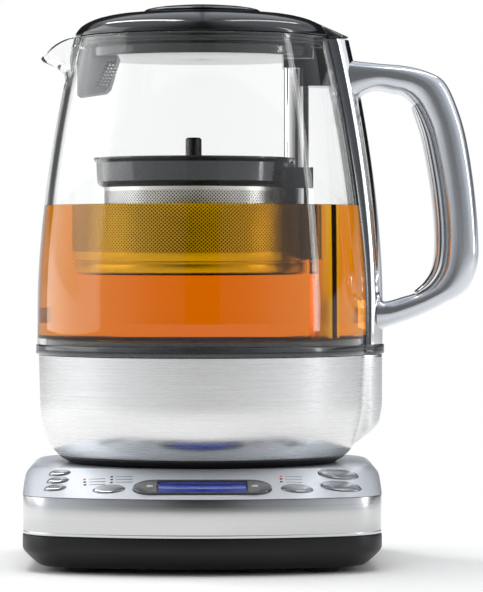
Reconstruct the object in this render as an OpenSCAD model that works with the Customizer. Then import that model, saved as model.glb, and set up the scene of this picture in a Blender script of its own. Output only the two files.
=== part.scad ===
// Automatic tea maker: a glass jug on a cordless power base, with a brewing
// basket that a lift mechanism raises and lowers along a steel rail.
// Millimetres, +Z up, handle towards +X, controls towards -Y.
// The origin is where the jug axis meets the table.

/* [Power base] */
// Width of the power base
base_w = 159; // [154:1:180]
// Depth of the power base, front to back
base_d = 172; // [160:1:190]
// From the jug axis to the middle of the front edge
base_front = 100; // [96:1:112]
// Plan radius of the bowed front
front_bow_r = 150; // [130:5:200]
// Plan radius where the front meets the sides
base_corner_r = 25; // [18:1:30]
// Plan radius of the rear corners
rear_corner_r = 40; // [20:1:50]
// Height of the rubber feet
rubber_foot_h = 2.5; // [1.5:0.5:4]
// Height of the black lower tray
tray_h = 13.8; // [12:0.2:20]
// Width of the chamfer around the underside of the tray
tray_chamfer = 8; // [4:0.5:11]
// Height of the brushed band
band_h = 17; // [14:0.5:26]
// Rise of the top shell above the band
deck_rise = 11; // [8:0.5:14]
// Front-to-back run of the sloping control panel
panel_run = 36; // [32:1:38]
// Wall thickness of the plastic shells
shell_wall = 2; // [1.5:0.1:2.5]

/* [Controls] */
// Press travel of every button
button_travel = 0.8; // [0.4:0.1:1.2]
// Gap around every button
button_gap = 0.3; // [0.2:0.05:0.5]
// Length of the display window
lcd_l = 38.5; // [30:0.5:42]
// Depth of the display window along the slope
lcd_w = 14; // [10:0.5:15]
// Length of the pointed surround of the display
bezel_l = 60.5; // [56:0.5:64]
// Depth of the surround along the slope
bezel_w = 17; // [16:0.5:19]

/* [Jug] */
// Outer radius of the glass at its foot
jug_r = 75.7; // [73:0.1:80]
// Height of the glass, seat to rim
glass_h = 141.5; // [130:0.5:155]
// Thickness of the glass
glass_wall = 3; // [2.5:0.1:4]
// Height of the straight part of the glass above the ring
straight_h = 16.5; // [8:0.5:30]
// How much the outer radius shrinks from there to the rim
neck_drop = 17; // [14:0.5:19]
// Height of the steel pot under the glass
pot_h = 46; // [44:0.5:56]
// Sheet thickness of the steel pot
pot_wall = 1; // [0.6:0.1:1.5]
// Height of the seal ring between glass and pot
ring_h = 4.5; // [4:0.25:7]
// Height of the black bottom cover of the jug
sole_h = 3.3; // [2.5:0.1:5]
// How far the lip of the spout stands out from the rim
spout_reach = 15; // [10:0.5:18]
// Half width of the spout where it leaves the rim
spout_half_w = 15; // [12:0.5:18]

/* [Handle] */
// Width of the handle, seen from behind
grip_w = 20; // [16:0.5:24]
// Reach of the handle beyond the spine
grip_reach = 44; // [40:0.5:52]
// Height between the outsides of the two arms
grip_h = 124; // [116:1:132]
// Thickness of the liner inside the grip
liner_t = 3.7; // [2:0.1:5]
// Thickness of the polished spine cover
spine_cover_t = 5.8; // [4:0.1:6.5]

/* [Lid] */
// Height of the lid rim above the glass
lid_rim_h = 5; // [4:0.25:8]
// Rise of the lid dome above its rim
lid_dome_h = 6.6; // [4:0.2:10]
// Radius of the knob disc
knob_r = 26.7; // [20:0.1:32]
// Height of the knob disc
knob_h = 3.6; // [3:0.1:8]
// Depth of the skirt that plugs the glass
skirt_h = 9.5; // [8:0.5:14]

/* [Basket] */
// Room between the perforated cup and the mouth of the glass
basket_room = 14.7; // [13.7:0.5:18.7]
// Height of the cup below the collar
cup_h = 42; // [30:1:46]
// Sheet thickness of the cup
cup_wall = 0.6; // [0.4:0.1:1]
// Height of the plastic collar
collar_h = 13.5; // [11:0.5:18]
// Offset of the basket axis from the jug axis, away from the handle
basket_shift = 4; // [2:0.25:6]
// Height of the collar rim above the heating plate, part way up
basket_rest_h = 86.6; // [84:0.2:92]
// Radius of the lift rail
rail_r = 5.75; // [5:0.05:6.5]
// Wall of the rail tube
rail_wall = 0.5; // [0.4:0.05:0.8]
// Radius of the lead screw
screw_r = 2; // [1.5:0.1:2.4]

/* [Hidden] */
$fn = 96;

// Clearances
seam = 0.2;      // between pieces that only meet
fit = 0.05;      // round a shaft, a tube or a magnet
run_fit = 0.1;   // round the rail, for the basket and the carriage
loose = 0.4;     // round what lifts off
eps = 0.01;      // overshoot of a cut

// Heights of the power base, from the table up
tray_z = rubber_foot_h;
tray_floor = 2;
band_z = tray_z + tray_h + seam;
edge_z = band_z + band_h;
deck_z = edge_z + deck_rise;
panel_slope = deck_rise / panel_run;
panel_tilt = atan(panel_slope);
base_rear = base_d - base_front;
band_wall = 1.5;

// Heights of the jug
sole_z = deck_z + seam;
pot_z = sole_z + sole_h;
ring_z = pot_z + pot_h;
ledge_h = 1.5;
gasket_h = 1.5;
glass_z = ring_z + ledge_h + gasket_h;
rim_z = glass_z + glass_h;
neck_z = ring_z + ring_h + straight_h;
neck_power = 1.75;
plate_z = glass_z;       // top of the heating plate, the floor of the jug
plate_h = 2;
ledge_r = jug_r - 5.7;   // inside of the seat that carries the glass
pot_r = jug_r - 0.6;
pot_corner_w = 13.5;       // half axes of the rounded lower corner of the pot
pot_corner_h = 27;

// Basket, rail and lift
mouth_r = jug_r - neck_drop - glass_wall;
cup_r = mouth_r - basket_room;
basket_x = -basket_shift;
rail_x = basket_x + cup_r + 0.55 + rail_r;
collar_r = cup_r + 3.8;
collar_z = plate_z + basket_rest_h - collar_h;
cup_z = collar_z + 1.5 - cup_h;
rail_top_z = rim_z - 13;
clip_z = collar_z - 0.4;
clip_h = 9.6;
bracket_drop = 33.5;
screw_z = plate_z - 13;

// Lid
lid_r = mouth_r + glass_wall - 0.4;
lid_z = rim_z + seam;
lid_top_z = lid_z + lid_rim_h + lid_dome_h;
skirt_r = mouth_r - loose;
skirt_z = lid_z - skirt_h;
skirt_low_r = skirt_r - 4.3;   // below the seal
lid_wall = 2;

// Outer radius of the glass at height z
function glass_r(z) =
    z < neck_z ? jug_r
    : jug_r - neck_drop * pow((z - neck_z) / (rim_z - neck_z), neck_power);

// Heights at which the glass profile bends
glass_steps = 16;
glass_levels = concat([glass_z],
    [for (i = [0:glass_steps]) neck_z + (rim_z - neck_z) * i / glass_steps]);

// How far the spine stands out from the glass, more at the top than at the foot
spine_out_low = 7.2;
spine_out_high = 8.5;
spine_z = ring_z + ring_h;
spine_top_z = rim_z - 0.6;
function spine_x(z) =
    glass_r(z) + spine_out_low
    + (spine_out_high - spine_out_low) * (z - spine_z) / (spine_top_z - spine_z);
spine_nose_r = 14;

// A skin through rings of points that all have the same count
module loft(rings) {
    n = len(rings[0]);
    m = len(rings);
    side = [for (j = [0:m - 2]) for (i = [0:n - 1]) for (half = [0, 1])
        let (k = (i + 1) % n)
        half == 0 ? [j * n + i, j * n + k, (j + 1) * n + k]
                  : [j * n + i, (j + 1) * n + k, (j + 1) * n + i]];
    ends = [[for (i = [n - 1:-1:0]) i], [for (i = [0:n - 1]) (m - 1) * n + i]];
    polyhedron(points = [for (r = rings) for (p = r) p],
        faces = concat([for (f = side) [f[2], f[1], f[0]]],
            [for (e = ends) [for (i = [len(e) - 1:-1:0]) e[i]]]),
        convexity = 6);
}

// A smooth curve through the points p, cut into steps pieces between each two
function curve_point(p, i, t) =
    let (a = p[max(i - 1, 0)], b = p[i], c = p[i + 1],
        d = p[min(i + 2, len(p) - 1)])
    0.5 * (2 * b + (c - a) * t + (2 * a - 5 * b + 4 * c - d) * t * t
        + (3 * b - a - 3 * c + d) * t * t * t);
function curve(p, steps) = concat(
    [for (i = [0:len(p) - 2]) for (s = [0:steps - 1]) curve_point(p, i, s / steps)],
    [p[len(p) - 1]]);

// ---------------------------------------------------------------- power base

// Outline of the base at height z, drawn in at the sides, its front moved back
function arc(cx, cy, r, a0, a1, n, z) =
    [for (i = [0:n]) let (a = a0 + (a1 - a0) * i / n)
        [cx + r * cos(a), cy + r * sin(a), z]];
function base_ring(z, side = 0, front = 0) =
    let (w = base_w / 2 - side, c = base_corner_r - side, q = rear_corner_r - side,
        rear = base_rear - side, bow_y = front_bow_r - base_front + front,
        swing = asin((w - c) / (front_bow_r - c)),
        corner_y = bow_y - (front_bow_r - c) * cos(swing))
    concat(
        arc(0, bow_y, front_bow_r, -90 - swing, -90 + swing, 14, z),
        arc(w - c, corner_y, c, -90 + swing + 9, 0, 7, z),
        arc(w - q, rear - q, q, 0, 90, 9, z),
        arc(q - w, rear - q, q, 90, 180, 9, z),
        arc(c - w, corner_y, c, 180, 270 - swing - 9, 7, z));

module base_plan(side = 0, front = 0) {
    polygon([for (p = base_ring(0, side, front)) [p[0], p[1]]]);
}

// The domed top: upright sides, a rounded shoulder and a long sloping front
shoulder = 5;
module deck_solid(z0, drop, inset) {
    steps = 5;
    loft(concat([base_ring(z0, inset, inset)],
        [for (i = [0:steps])
            let (a = 90 * i / steps, rise = deck_rise - shoulder * (1 - sin(a)))
            base_ring(edge_z + rise - drop, inset + shoulder * (1 - cos(a)),
                inset + rise / panel_slope)]));
}

// Front edge of the base at x, and the height of the panel at x, y
function front_y(x) =
    front_bow_r - base_front - sqrt(front_bow_r * front_bow_r - x * x);
function panel_z(x, y) = edge_z + panel_slope * (y - front_y(x));
function panel_roll(x) =
    atan(panel_slope * x / sqrt(front_bow_r * front_bow_r - x * x));
function panel_yaw(x) = asin(x / front_bow_r) / 2;

module on_panel(x, set_back) {
    y = front_y(x) + set_back;
    translate([x, y, panel_z(x, y)]) rotate([panel_tilt, 0, 0])
        rotate([0, panel_roll(x), 0]) rotate([0, 0, panel_yaw(x)]) children();
}

// Buttons: name, x, distance back from the front edge, length, width
BUTTONS = [
    ["left_back", -63.3, 29.1, 9.6, 6.8],
    ["left_middle", -63.8, 20.1, 9.6, 6.8],
    ["left_front", -64.6, 11.1, 9.6, 6.8],
    ["front_left", -40.8, 11.2, 13.8, 9.6],
    ["minus", -23.6, 13.4, 7, 7],
    ["plus", 23.6, 13.4, 7, 7],
    ["front_right", 41.4, 11.6, 13.8, 9.6],
    ["right_back", 60.2, 27.6, 18.2, 12],
    ["right_front", 60.8, 13, 18.2, 12]];
bezel_back = 14.7;

module oval(l, w) {
    polygon([for (a = [5:10:355]) [l / 2 * cos(a), w / 2 * sin(a)]]);
}

// Flat-sided surround with elliptic ends
module bezel_plan(grow = 0) {
    straight = lcd_l / 2 + 1;
    tip = bezel_l / 2 - straight + grow;
    half = bezel_w / 2 + grow;
    polygon([for (a = [-90:10:90]) [straight + tip * cos(a), half * sin(a)],
        for (a = [90:10:270]) [-straight + tip * cos(a), half * sin(a)]]);
}

// Places of the indicator lamps: x and distance back from the front edge
LEDS = concat(
    [for (i = [0:2]) [-51.9 + 0.2 * i, 22.4 - 3.3 * i]],
    [for (i = [0:2]) [-39.9, 25.9 - 3.3 * i]],
    [for (i = [0:2]) [34.6, 26.8 - 3.3 * i]]);
led_r = 0.7;

// Screw posts between the tray and the top shell
post_r = 3.5;
screw_hole_r = 1.6;
post_places = [for (sx = [-1, 1]) for (p = [[15, -38], [26, base_rear - 26]])
    [sx * (base_w / 2 - p[0]), p[1]]];

// Control board under the panel
board_t = 1.6;
board_l = base_w - 21;
board_w = panel_run - 2;
board_front = 9;
board_drop = 11;
board_y = front_y(64) + 15;
function board_z(y) = panel_z(64, board_y) - board_drop + panel_slope * (y - board_y);
module board_frame() {
    translate([0, board_y, board_z(board_y)]) rotate([panel_tilt, 0, 0])
        children();
}
board_post_r = 2.5;
board_post_x = board_l / 2 - 22;
board_posts = [for (s = [-1, 1]) for (y = [board_y - 4, board_y + 12])
    [s * board_post_x, y]];

// Power board behind the coupler, on stands of the tray
power_l = 64;
power_w = 40;
power_y = base_rear - 20 - power_w;
power_stand = 4;
stand_x = power_l / 2 - 8;
stand_inset = 6;

// Gland for the cord, in the rear wall of the tray
gland_x = -34;
gland_z = tray_z + 8.9;
gland_r = 4.3;
gland_l = 11;
gland_flange_r = gland_r + 1.4;
gland_flange_t = 2;
cord_bore_r = 3.2;

// Screws of the base
screw_head_r = 2.8;
screw_head_h = 1.3;
base_screw_l = 12;

// Cordless coupler: a post on the base that enters a cup under the jug
socket_r = 16;
socket_h = 9.5;
slot_in = 7.5;
slot_out = 10.5;
pin_hole_r = 3.5;
slot_floor = deck_z + 0.5;
contact_t = 0.6;

module base_tray() {
    lip_z = tray_z + tray_chamfer - 0.5;
    floor_in = tray_chamfer + shell_wall;
    color([0.07, 0.07, 0.08]) difference() {
        union() {
            difference() {
                loft([base_ring(tray_z, tray_chamfer, tray_chamfer),
                    base_ring(lip_z), base_ring(tray_z + tray_h)]);
                loft([base_ring(tray_z + tray_floor, floor_in, floor_in),
                    base_ring(lip_z + 1, shell_wall, shell_wall),
                    base_ring(tray_z + tray_h + 1, shell_wall, shell_wall)]);
            }
            for (p = board_posts)
                translate([p[0], p[1], tray_z + 1])
                    cylinder(r = board_post_r,
                        h = board_z(p[1]) - tray_z - 1 - seam
                            - board_post_r * panel_slope);
            for (p = post_places)
                translate([p[0], p[1], tray_z + 1])
                    cylinder(r = post_r, h = tray_floor + 1.5);
            for (s = [-1, 1]) for (y = [stand_inset, power_w - stand_inset])
                translate([s * stand_x, power_y + y, tray_z + 1])
                    cylinder(r = board_post_r, h = power_stand);
            translate([gland_x, base_rear - gland_l + 2 * seam, gland_z])
                rotate([-90, 0, 0])
                    cylinder(r = gland_r + 1.6, h = gland_l - shell_wall - 1);
        }
        for (p = post_places) translate([p[0], p[1], 0]) {
            cylinder(r = screw_hole_r, h = tray_z + tray_h);
            cylinder(r = screw_head_r + 0.3, h = tray_z + tray_floor + seam);
        }
        translate([gland_x, base_rear - gland_l - 1, gland_z]) rotate([-90, 0, 0])
            cylinder(r = gland_r + fit, h = gland_l + 2);
    }
}

module base_band() {
    color([0.78, 0.78, 0.79]) translate([0, 0, band_z])
        linear_extrude(band_h - seam) difference() {
            base_plan(0.3, 0.3);
            base_plan(0.3 + band_wall, 0.3 + band_wall);
        }
}

module base_top() {
    color([0.74, 0.74, 0.75]) difference() {
        union() {
            difference() {
                deck_solid(edge_z, 0, 0);
                deck_solid(edge_z - 1, shell_wall, shell_wall);
            }
            for (p = post_places) translate([p[0], p[1], tray_z + tray_floor + 3.2])
                cylinder(r = post_r,
                    h = deck_z - shell_wall / 2 - tray_z - tray_floor - 3.2);
        }
        for (p = post_places) translate([p[0], p[1], 0])
            cylinder(r = screw_hole_r, h = tray_z + tray_floor + base_screw_l + 2);
        translate([0, 0, edge_z]) cylinder(r = socket_r + seam, h = deck_rise * 2);
        for (b = BUTTONS) if (b[3] != b[4]) on_panel(b[1], b[2])
            translate([0, 0, -4]) linear_extrude(8)
                oval(b[3] + 2 * button_gap, b[4] + 2 * button_gap);
        on_panel(0, bezel_back) translate([0, 0, -9]) linear_extrude(12)
            bezel_plan(seam);
        for (p = LEDS) on_panel(p[0], p[1]) translate([0, 0, -4])
            cylinder(r = led_r + fit, h = 6, $fn = 24);
    }
}

// Each button is a crowned cap, a flange that keeps it in and a plunger
cap_proud = 1;
switch_h = 2.2;
switch_w = 6;
plunger_r = 1.3;
switch_gap = 0.4;
function over_board(b) =
    let (y = front_y(b[1]) + b[2]) panel_z(b[1], y) - board_z(y);
function plunger_len(b) =
    (over_board(b) * cos(panel_tilt) - board_t - switch_h - button_travel
        - switch_gap) / cos(panel_roll(b[1]));
module button(b) {
    crown_r = b[3] * 1.6;
    flange = b[3] == b[4] ? 0 : 0.8;
    color([0.8, 0.81, 0.83]) on_panel(b[1], b[2]) {
        intersection() {
            translate([0, 0, -shell_wall - 1.4])
                linear_extrude(shell_wall + 2 + cap_proud)
                    oval(b[3], b[4]);
            translate([0, 0, cap_proud - crown_r]) sphere(crown_r);
        }
        translate([0, 0, -shell_wall - 2.4]) linear_extrude(1.4)
            oval(b[3] + 2 * flange + 0.1, b[4] + 2 * flange + 0.1);
        translate([0, 0, -plunger_len(b)])
            cylinder(r = plunger_r, h = plunger_len(b) - shell_wall - 1.2);
    }
}
module button_left_back() { button(BUTTONS[0]); }
module button_left_middle() { button(BUTTONS[1]); }
module button_left_front() { button(BUTTONS[2]); }
module button_front_left() { button(BUTTONS[3]); }
module button_minus() { button(BUTTONS[4]); }
module button_plus() { button(BUTTONS[5]); }
module button_front_right() { button(BUTTONS[6]); }
module button_right_back() { button(BUTTONS[7]); }
module button_right_front() { button(BUTTONS[8]); }

bezel_t = 3;
module display_bezel() {
    color([0.16, 0.17, 0.19]) difference() {
        on_panel(0, bezel_back) translate([0, 0, 0.3 - bezel_t])
            linear_extrude(bezel_t) difference() {
                bezel_plan();
                square([lcd_l, lcd_w], center = true);
            }
        for (b = BUTTONS) if (b[3] == b[4]) on_panel(b[1], b[2])
            translate([0, 0, -6]) cylinder(r = b[3] / 2 + button_gap, h = 12);
    }
}

lens_t = 1.2;
module display_lens() {
    color([0.1, 0.16, 0.75]) on_panel(0, bezel_back) translate([0, 0, 0.1 - lens_t])
        linear_extrude(lens_t)
            square([lcd_l - 2 * fit, lcd_w - 2 * fit], center = true);
}

module display_module() {
    depth = panel_z(0, front_y(0) + bezel_back) - board_z(front_y(0) + bezel_back);
    z0 = board_t + seam - depth * cos(panel_tilt);
    color([0.1, 0.3, 0.16]) on_panel(0, bezel_back) translate([0, 0, z0])
        linear_extrude(-z0 - lens_t) square([lcd_l - 4, lcd_w - 2], center = true);
}

module control_board() {
    color([0.05, 0.3, 0.15]) board_frame() translate([-board_l / 2, -board_front, 0])
        cube([board_l, board_w, board_t]);
}

module key_switches() {
    color([0.2, 0.2, 0.22]) for (b = BUTTONS)
        let (run = (front_y(b[1]) + b[2] - board_y) / cos(panel_tilt),
            lean = plunger_len(b) * sin(panel_roll(b[1])))
        board_frame() translate([b[1] - lean,
            run + over_board(b) * sin(panel_tilt), board_t]) {
            linear_extrude(switch_h - 0.7) square(switch_w, center = true);
            cylinder(r = switch_w / 2 - 1.4, h = switch_h);
        }
}

module indicator_leds() {
    color([0.7, 0.1, 0.08]) for (p = LEDS) on_panel(p[0], p[1])
        translate([0, 0, -3]) cylinder(r = led_r, h = 3.1, $fn = 24);
}

module power_board() {
    top = board_t - eps;
    color([0.05, 0.3, 0.15])
        translate([-power_l / 2, power_y, tray_z + 1 + power_stand]) {
            cube([power_l, power_w, board_t]);
            // transformer, relay and two capacitors
            translate([6, 8, top]) cube([20, 16, 14]);
            translate([36, 6, top]) cube([19, 15, 15]);
            for (x = [36, 48]) translate([x, 30, top]) cylinder(r = 4, h = 12);
        }
}

module coupler_socket() {
    top = deck_z + socket_h;
    color([0.1, 0.1, 0.11]) rotate_extrude() polygon([
        [pin_hole_r, slot_floor], [pin_hole_r, top], [slot_in, top],
        [slot_in, slot_floor], [slot_out, slot_floor], [slot_out, top],
        [socket_r - 1.5, top], [socket_r, top - 1.5],
        [socket_r, deck_z - shell_wall - seam],
        [socket_r + 6, deck_z - shell_wall - seam],
        [socket_r + 6, deck_z - shell_wall - 3],
        [0, deck_z - shell_wall - 3], [0, slot_floor]]);
}

module coupler_contacts() {
    h = socket_h - 2;
    color([0.85, 0.65, 0.3]) translate([0, 0, slot_floor]) {
        difference() {
            cylinder(r = slot_out, h = h);
            translate([0, 0, -1]) cylinder(r = slot_out - contact_t, h = h + 2);
        }
        difference() {
            cylinder(r = pin_hole_r, h = h);
            translate([0, 0, -1]) cylinder(r = pin_hole_r - contact_t, h = h + 2);
        }
    }
}

module cord_gland() {
    color([0.12, 0.12, 0.13]) translate([gland_x, base_rear, gland_z])
        rotate([90, 0, 0]) difference() {
            union() {
                cylinder(r = gland_r, h = gland_l);
                translate([0, 0, gland_l - seam])
                    cylinder(r = gland_flange_r, h = gland_flange_t);
            }
            translate([0, 0, -1])
                cylinder(r = cord_bore_r, h = gland_l + gland_flange_t + 2);
        }
}

pad_r = 8;
centre_pad_r = 11;
pad_places = [for (sx = [-1, 1]) for (y = [-base_front + 32, base_rear - 24])
    [sx * (base_w / 2 - 27), y]];
module rubber_feet() {
    color([0.09, 0.09, 0.09]) {
        cylinder(r = centre_pad_r, h = rubber_foot_h);
        for (p = pad_places) translate([p[0], p[1], 0])
            cylinder(r = pad_r, h = rubber_foot_h);
    }
}

module base_screws() {
    color([0.6, 0.6, 0.62]) for (p = post_places) translate([p[0], p[1], 0]) {
        translate([0, 0, tray_z + tray_floor - 1.2])
            cylinder(r = screw_head_r, h = screw_head_h);
        translate([0, 0, tray_z + tray_floor])
            cylinder(r = screw_hole_r - fit, h = base_screw_l);
    }
}

// ---------------------------------------------------------------------- jug

cup_gap = loose;
connector_r = socket_r + cup_gap + 3;
connector_top = deck_z + socket_h + 1;

module jug_sole() {
    wall_r = pot_foot_r() - pot_wall;
    color([0.07, 0.07, 0.08]) rotate_extrude() polygon([
        [connector_r + seam, sole_z], [pot_foot_r() - 5, sole_z],
        [pot_foot_r() - 1.4, pot_z - 1.4], [pot_foot_r(), pot_z],
        [wall_r - seam, pot_z], [wall_r - seam, pot_z + 2],
        [connector_r + seam, pot_z + 2]]);
}

module jug_connector() {
    color([0.12, 0.12, 0.13]) rotate_extrude() polygon([
        [socket_r + cup_gap, sole_z + 0.3], [connector_r, sole_z + 0.3],
        [connector_r, pot_z + 2], [connector_r + 4, pot_z + 2],
        [connector_r + 4, pot_z + 4], [connector_r, pot_z + 4],
        [connector_r, connector_top + 4], [0, connector_top + 4],
        [0, connector_top], [socket_r + cup_gap, connector_top]]);
}

module connector_pins() {
    ring_r = (slot_in + slot_out) / 2;
    color([0.85, 0.65, 0.3]) translate([0, 0, slot_floor + 2]) {
        h = connector_top - slot_floor - 2;
        difference() {
            cylinder(r = ring_r + 0.4, h = h);
            translate([0, 0, -1]) cylinder(r = ring_r - 0.4, h = h + 2);
        }
        cylinder(r = pin_hole_r - contact_t - 0.4, h = h);
    }
}

// Outline of the steel pot: upright wall, then an elliptic lower corner
pot_mid_z = pot_z + pot_corner_h - 2;
function pot_r_at(z) =
    z > pot_mid_z ? pot_r - 0.6 * (ring_z - z) / (ring_z - pot_mid_z)
    : pot_r - 0.6 - pot_corner_w
        * (1 - sqrt(1 - pow((pot_mid_z - z) / pot_corner_h, 2)));
function pot_foot_r() = pot_r_at(pot_z);
pot_levels = concat([ring_z], [for (i = [0:10])
    pot_z + (pot_mid_z - pot_z) * (1 - pow(i / 10, 1.3))]);
module pot_solid(inset, z0) {
    rotate_extrude() polygon(concat([[0, ring_z - inset]],
        [for (z = pot_levels) [pot_r_at(z) - inset, min(z, ring_z - inset)]],
        [[pot_r_at(pot_z) - inset, z0], [0, z0]]));
}

// The swelling of the pot under the spine
bulge_r = 18;
bulge_nose = jug_r + spine_out_low - 0.2;
BULGE = [[11, 6], [7.9, 8.4], [5.1, 10.7], [2.8, 13], [1.4, 15], [0.5, 20], [0, 22]];
module bulge_solid(inset) {
    intersection() {
        translate([bulge_nose - bulge_r, 0, pot_z])
            cylinder(r = bulge_r - inset, h = pot_h - inset);
        rotate_extrude() polygon(concat([[60, pot_z + 2]],
            [for (p = BULGE) [bulge_nose - inset - p[0], pot_z + p[1]]],
            [[bulge_nose - inset, ring_z - inset], [60, ring_z - inset]]));
    }
}

module steel_pot() {
    color([0.8, 0.8, 0.81]) difference() {
        union() {
            pot_solid(0, pot_z);
            bulge_solid(0);
        }
        pot_solid(pot_wall, pot_z - 1);
        bulge_solid(pot_wall);
        translate([0, 0, ring_z - 2 * pot_wall])
            cylinder(r = ledge_r + 0.3, h = 3 * pot_wall);
    }
}

ring_r = jug_r + 0.7;
ring_nose = jug_r + spine_out_low + 0.8;
module jug_ring() {
    color([0.2, 0.21, 0.23]) translate([0, 0, ring_z]) {
        linear_extrude(ledge_h) difference() {
            ring_plan();
            circle(ledge_r);
        }
        translate([0, 0, ledge_h - eps]) linear_extrude(ring_h - ledge_h + eps)
            difference() {
                ring_plan();
                circle(jug_r + fit);
            }
    }
}
module ring_plan() {
    circle(ring_r);
    translate([ring_nose - bulge_r - 0.8, 0]) circle(bulge_r + 0.8);
}

module jug_gasket() {
    color([0.75, 0.75, 0.74]) translate([0, 0, ring_z + ledge_h]) rotate_extrude()
        polygon([[ledge_r, 0], [jug_r, 0], [jug_r, gasket_h],
            [jug_r - glass_wall - fit, gasket_h],
            [jug_r - glass_wall - fit, gasket_h + 1.2],
            [ledge_r + 1.2, gasket_h + 1.2], [ledge_r, gasket_h]]);
}

plate_skirt = 8;
module heating_plate() {
    r = ledge_r - fit;
    color([0.7, 0.71, 0.72]) difference() {
        rotate_extrude() polygon([[0, plate_z - plate_h], [r - 1.2, plate_z - plate_h],
            [r - 1.2, plate_z - plate_skirt], [r, plate_z - plate_skirt],
            [r, plate_z - 0.8], [r - 0.8, plate_z], [0, plate_z]]);
        translate([rail_x, 0, plate_z - 5]) cylinder(r = rail_r + fit, h = 10);
    }
}

element_r = 50;
element_tube_r = 3.5;
module heating_element() {
    z = plate_z - plate_h - element_tube_r;
    gap = 32;
    color([0.45, 0.43, 0.42]) {
        translate([0, 0, z]) rotate([0, 0, gap]) rotate_extrude(angle = 360 - 2 * gap)
            translate([element_r, 0]) circle(element_tube_r, $fn = 24);
        for (s = [-1, 1])
            translate([element_r * cos(gap), s * element_r * sin(gap), z - 14])
                cylinder(r = 2.4, h = 14, $fn = 24);
    }
}

module plate_thermostat() {
    color([0.35, 0.3, 0.28]) translate([-22, 0, plate_z - plate_h - 7]) {
        cylinder(r = 9, h = 7);
        translate([-12, -3, 2]) cube([24, 6, 2]);
    }
}

motor_r = 8;
bracket_z = plate_z - plate_h - 9;
module lift_motor() {
    color([0.5, 0.51, 0.53]) translate([rail_x, 0, 0]) difference() {
        union() {
            translate([0, 0, bracket_z - 26]) cylinder(r = motor_r, h = 26);
            translate([0, 0, bracket_z - 1]) cylinder(r = 4, h = 5);
        }
        translate([0, 0, screw_z - 1]) cylinder(r = screw_r + fit, h = 12);
    }
}

module motor_bracket() {
    color([0.6, 0.61, 0.63]) translate([rail_x, 0, bracket_z]) difference() {
        union() {
            translate([-10, -16, 0]) cube([20, 32, 2]);
            for (y = [-13, 13]) translate([0, y, 1])
                cylinder(r = 2.5, h = plate_z - plate_h - bracket_z - 1);
        }
        translate([0, 0, -1]) cylinder(r = 4 + fit, h = 4);
    }
}

module rail_tube() {
    z0 = plate_z - plate_h - 1.5;
    color([0.85, 0.85, 0.86]) translate([rail_x, 0, z0]) difference() {
        cylinder(r = rail_r, h = rail_top_z - z0);
        translate([0, 0, -1]) cylinder(r = rail_r - rail_wall, h = rim_z);
    }
}

cap_plug_h = 4;
module rail_cap() {
    color([0.2, 0.21, 0.23]) translate([rail_x, 0, rail_top_z]) difference() {
        rotate_extrude() polygon([[0, -cap_plug_h],
            [rail_r - rail_wall - fit, -cap_plug_h], [rail_r - rail_wall - fit, 0],
            [rail_r, 0], [rail_r, 0.8], [rail_r - 1.2, 2], [0, 2]]);
        translate([0, 0, -cap_plug_h - 1]) cylinder(r = screw_r + fit, h = cap_plug_h);
    }
}

// Glass: a turned wall and a pouring lip that opens its rim
tip_r = 2.4;
tip_x = jug_r - neck_drop + spout_reach - tip_r;
tip_z = rim_z - 9.3;
spout_low_z = rim_z - 19;
module spout_form(inset) {
    lift = inset * 1.1;
    lip_r = 2.2 + inset;
    mirror([1, 0, 0]) hull() {
        translate([tip_x - inset * 0.7, 0, tip_z + lift + inset])
            sphere(tip_r - inset * 0.45, $fn = 32);
        for (s = [-1, 1]) translate([mouth_r - inset, s * (spout_half_w - inset * 1.4),
            rim_z - lip_r + lift * 2])
            sphere(lip_r, $fn = 32);
        translate([glass_r(spout_low_z) - 3 - inset, 0, spout_low_z + lift])
            sphere(2.6, $fn = 32);
    }
}

module glass_jug() {
    color([0.85, 0.9, 0.92, 0.35]) difference() {
        union() {
            rotate_extrude() polygon(concat([[0, glass_z]],
                [for (z = glass_levels) [glass_r(z), z]], [[0, rim_z]]));
            intersection() {
                spout_form(0);
                translate([-jug_r * 2, -jug_r, 0]) cube([jug_r * 2, jug_r * 2, rim_z]);
            }
        }
        rotate_extrude() polygon(concat([[0, glass_z - 1],
            [jug_r - glass_wall, glass_z - 1]],
            [for (z = glass_levels) [glass_r(z) - glass_wall, z]],
            [[mouth_r, rim_z + 1], [0, rim_z + 1]]));
        spout_form(1.6);
    }
}

// Spine behind the handle: a dark backing on the glass under a polished cover
spine_levels = concat([spine_z], [for (z = glass_levels)
    if (z > spine_z + 1 && z < spine_top_z - 1) z], [spine_top_z]);
cover_half_angle = acos((spine_nose_r - spine_cover_t) / spine_nose_r);
cover_steps = 6;
function on_spine(z, i, r) =
    let (a = cover_half_angle * i / cover_steps)
    [spine_x(z) - spine_nose_r + r * cos(a), r * sin(a), z];

module spine_cover() {
    color([0.83, 0.84, 0.86]) difference() {
        loft([for (z = spine_levels) [for (i = [-cover_steps:cover_steps])
            on_spine(z, i, spine_nose_r)]]);
        arm_screw_cuts(arm_screw_r + seam);
    }
}

module spine_backing() {
    half = spine_nose_r * sin(cover_half_angle);
    foot = half + 2.2;
    color([0.22, 0.23, 0.25]) loft([for (z = spine_levels)
        let (r = glass_r(z) + run_fit)
        concat(
            [for (i = [-4:4]) let (y = -foot * i / 4) [sqrt(r * r - y * y), -y, z]],
            [[spine_x(z) - spine_cover_t - fit, half, z],
             [spine_x(z) - spine_cover_t - fit, -half, z]])]);
}

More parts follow.
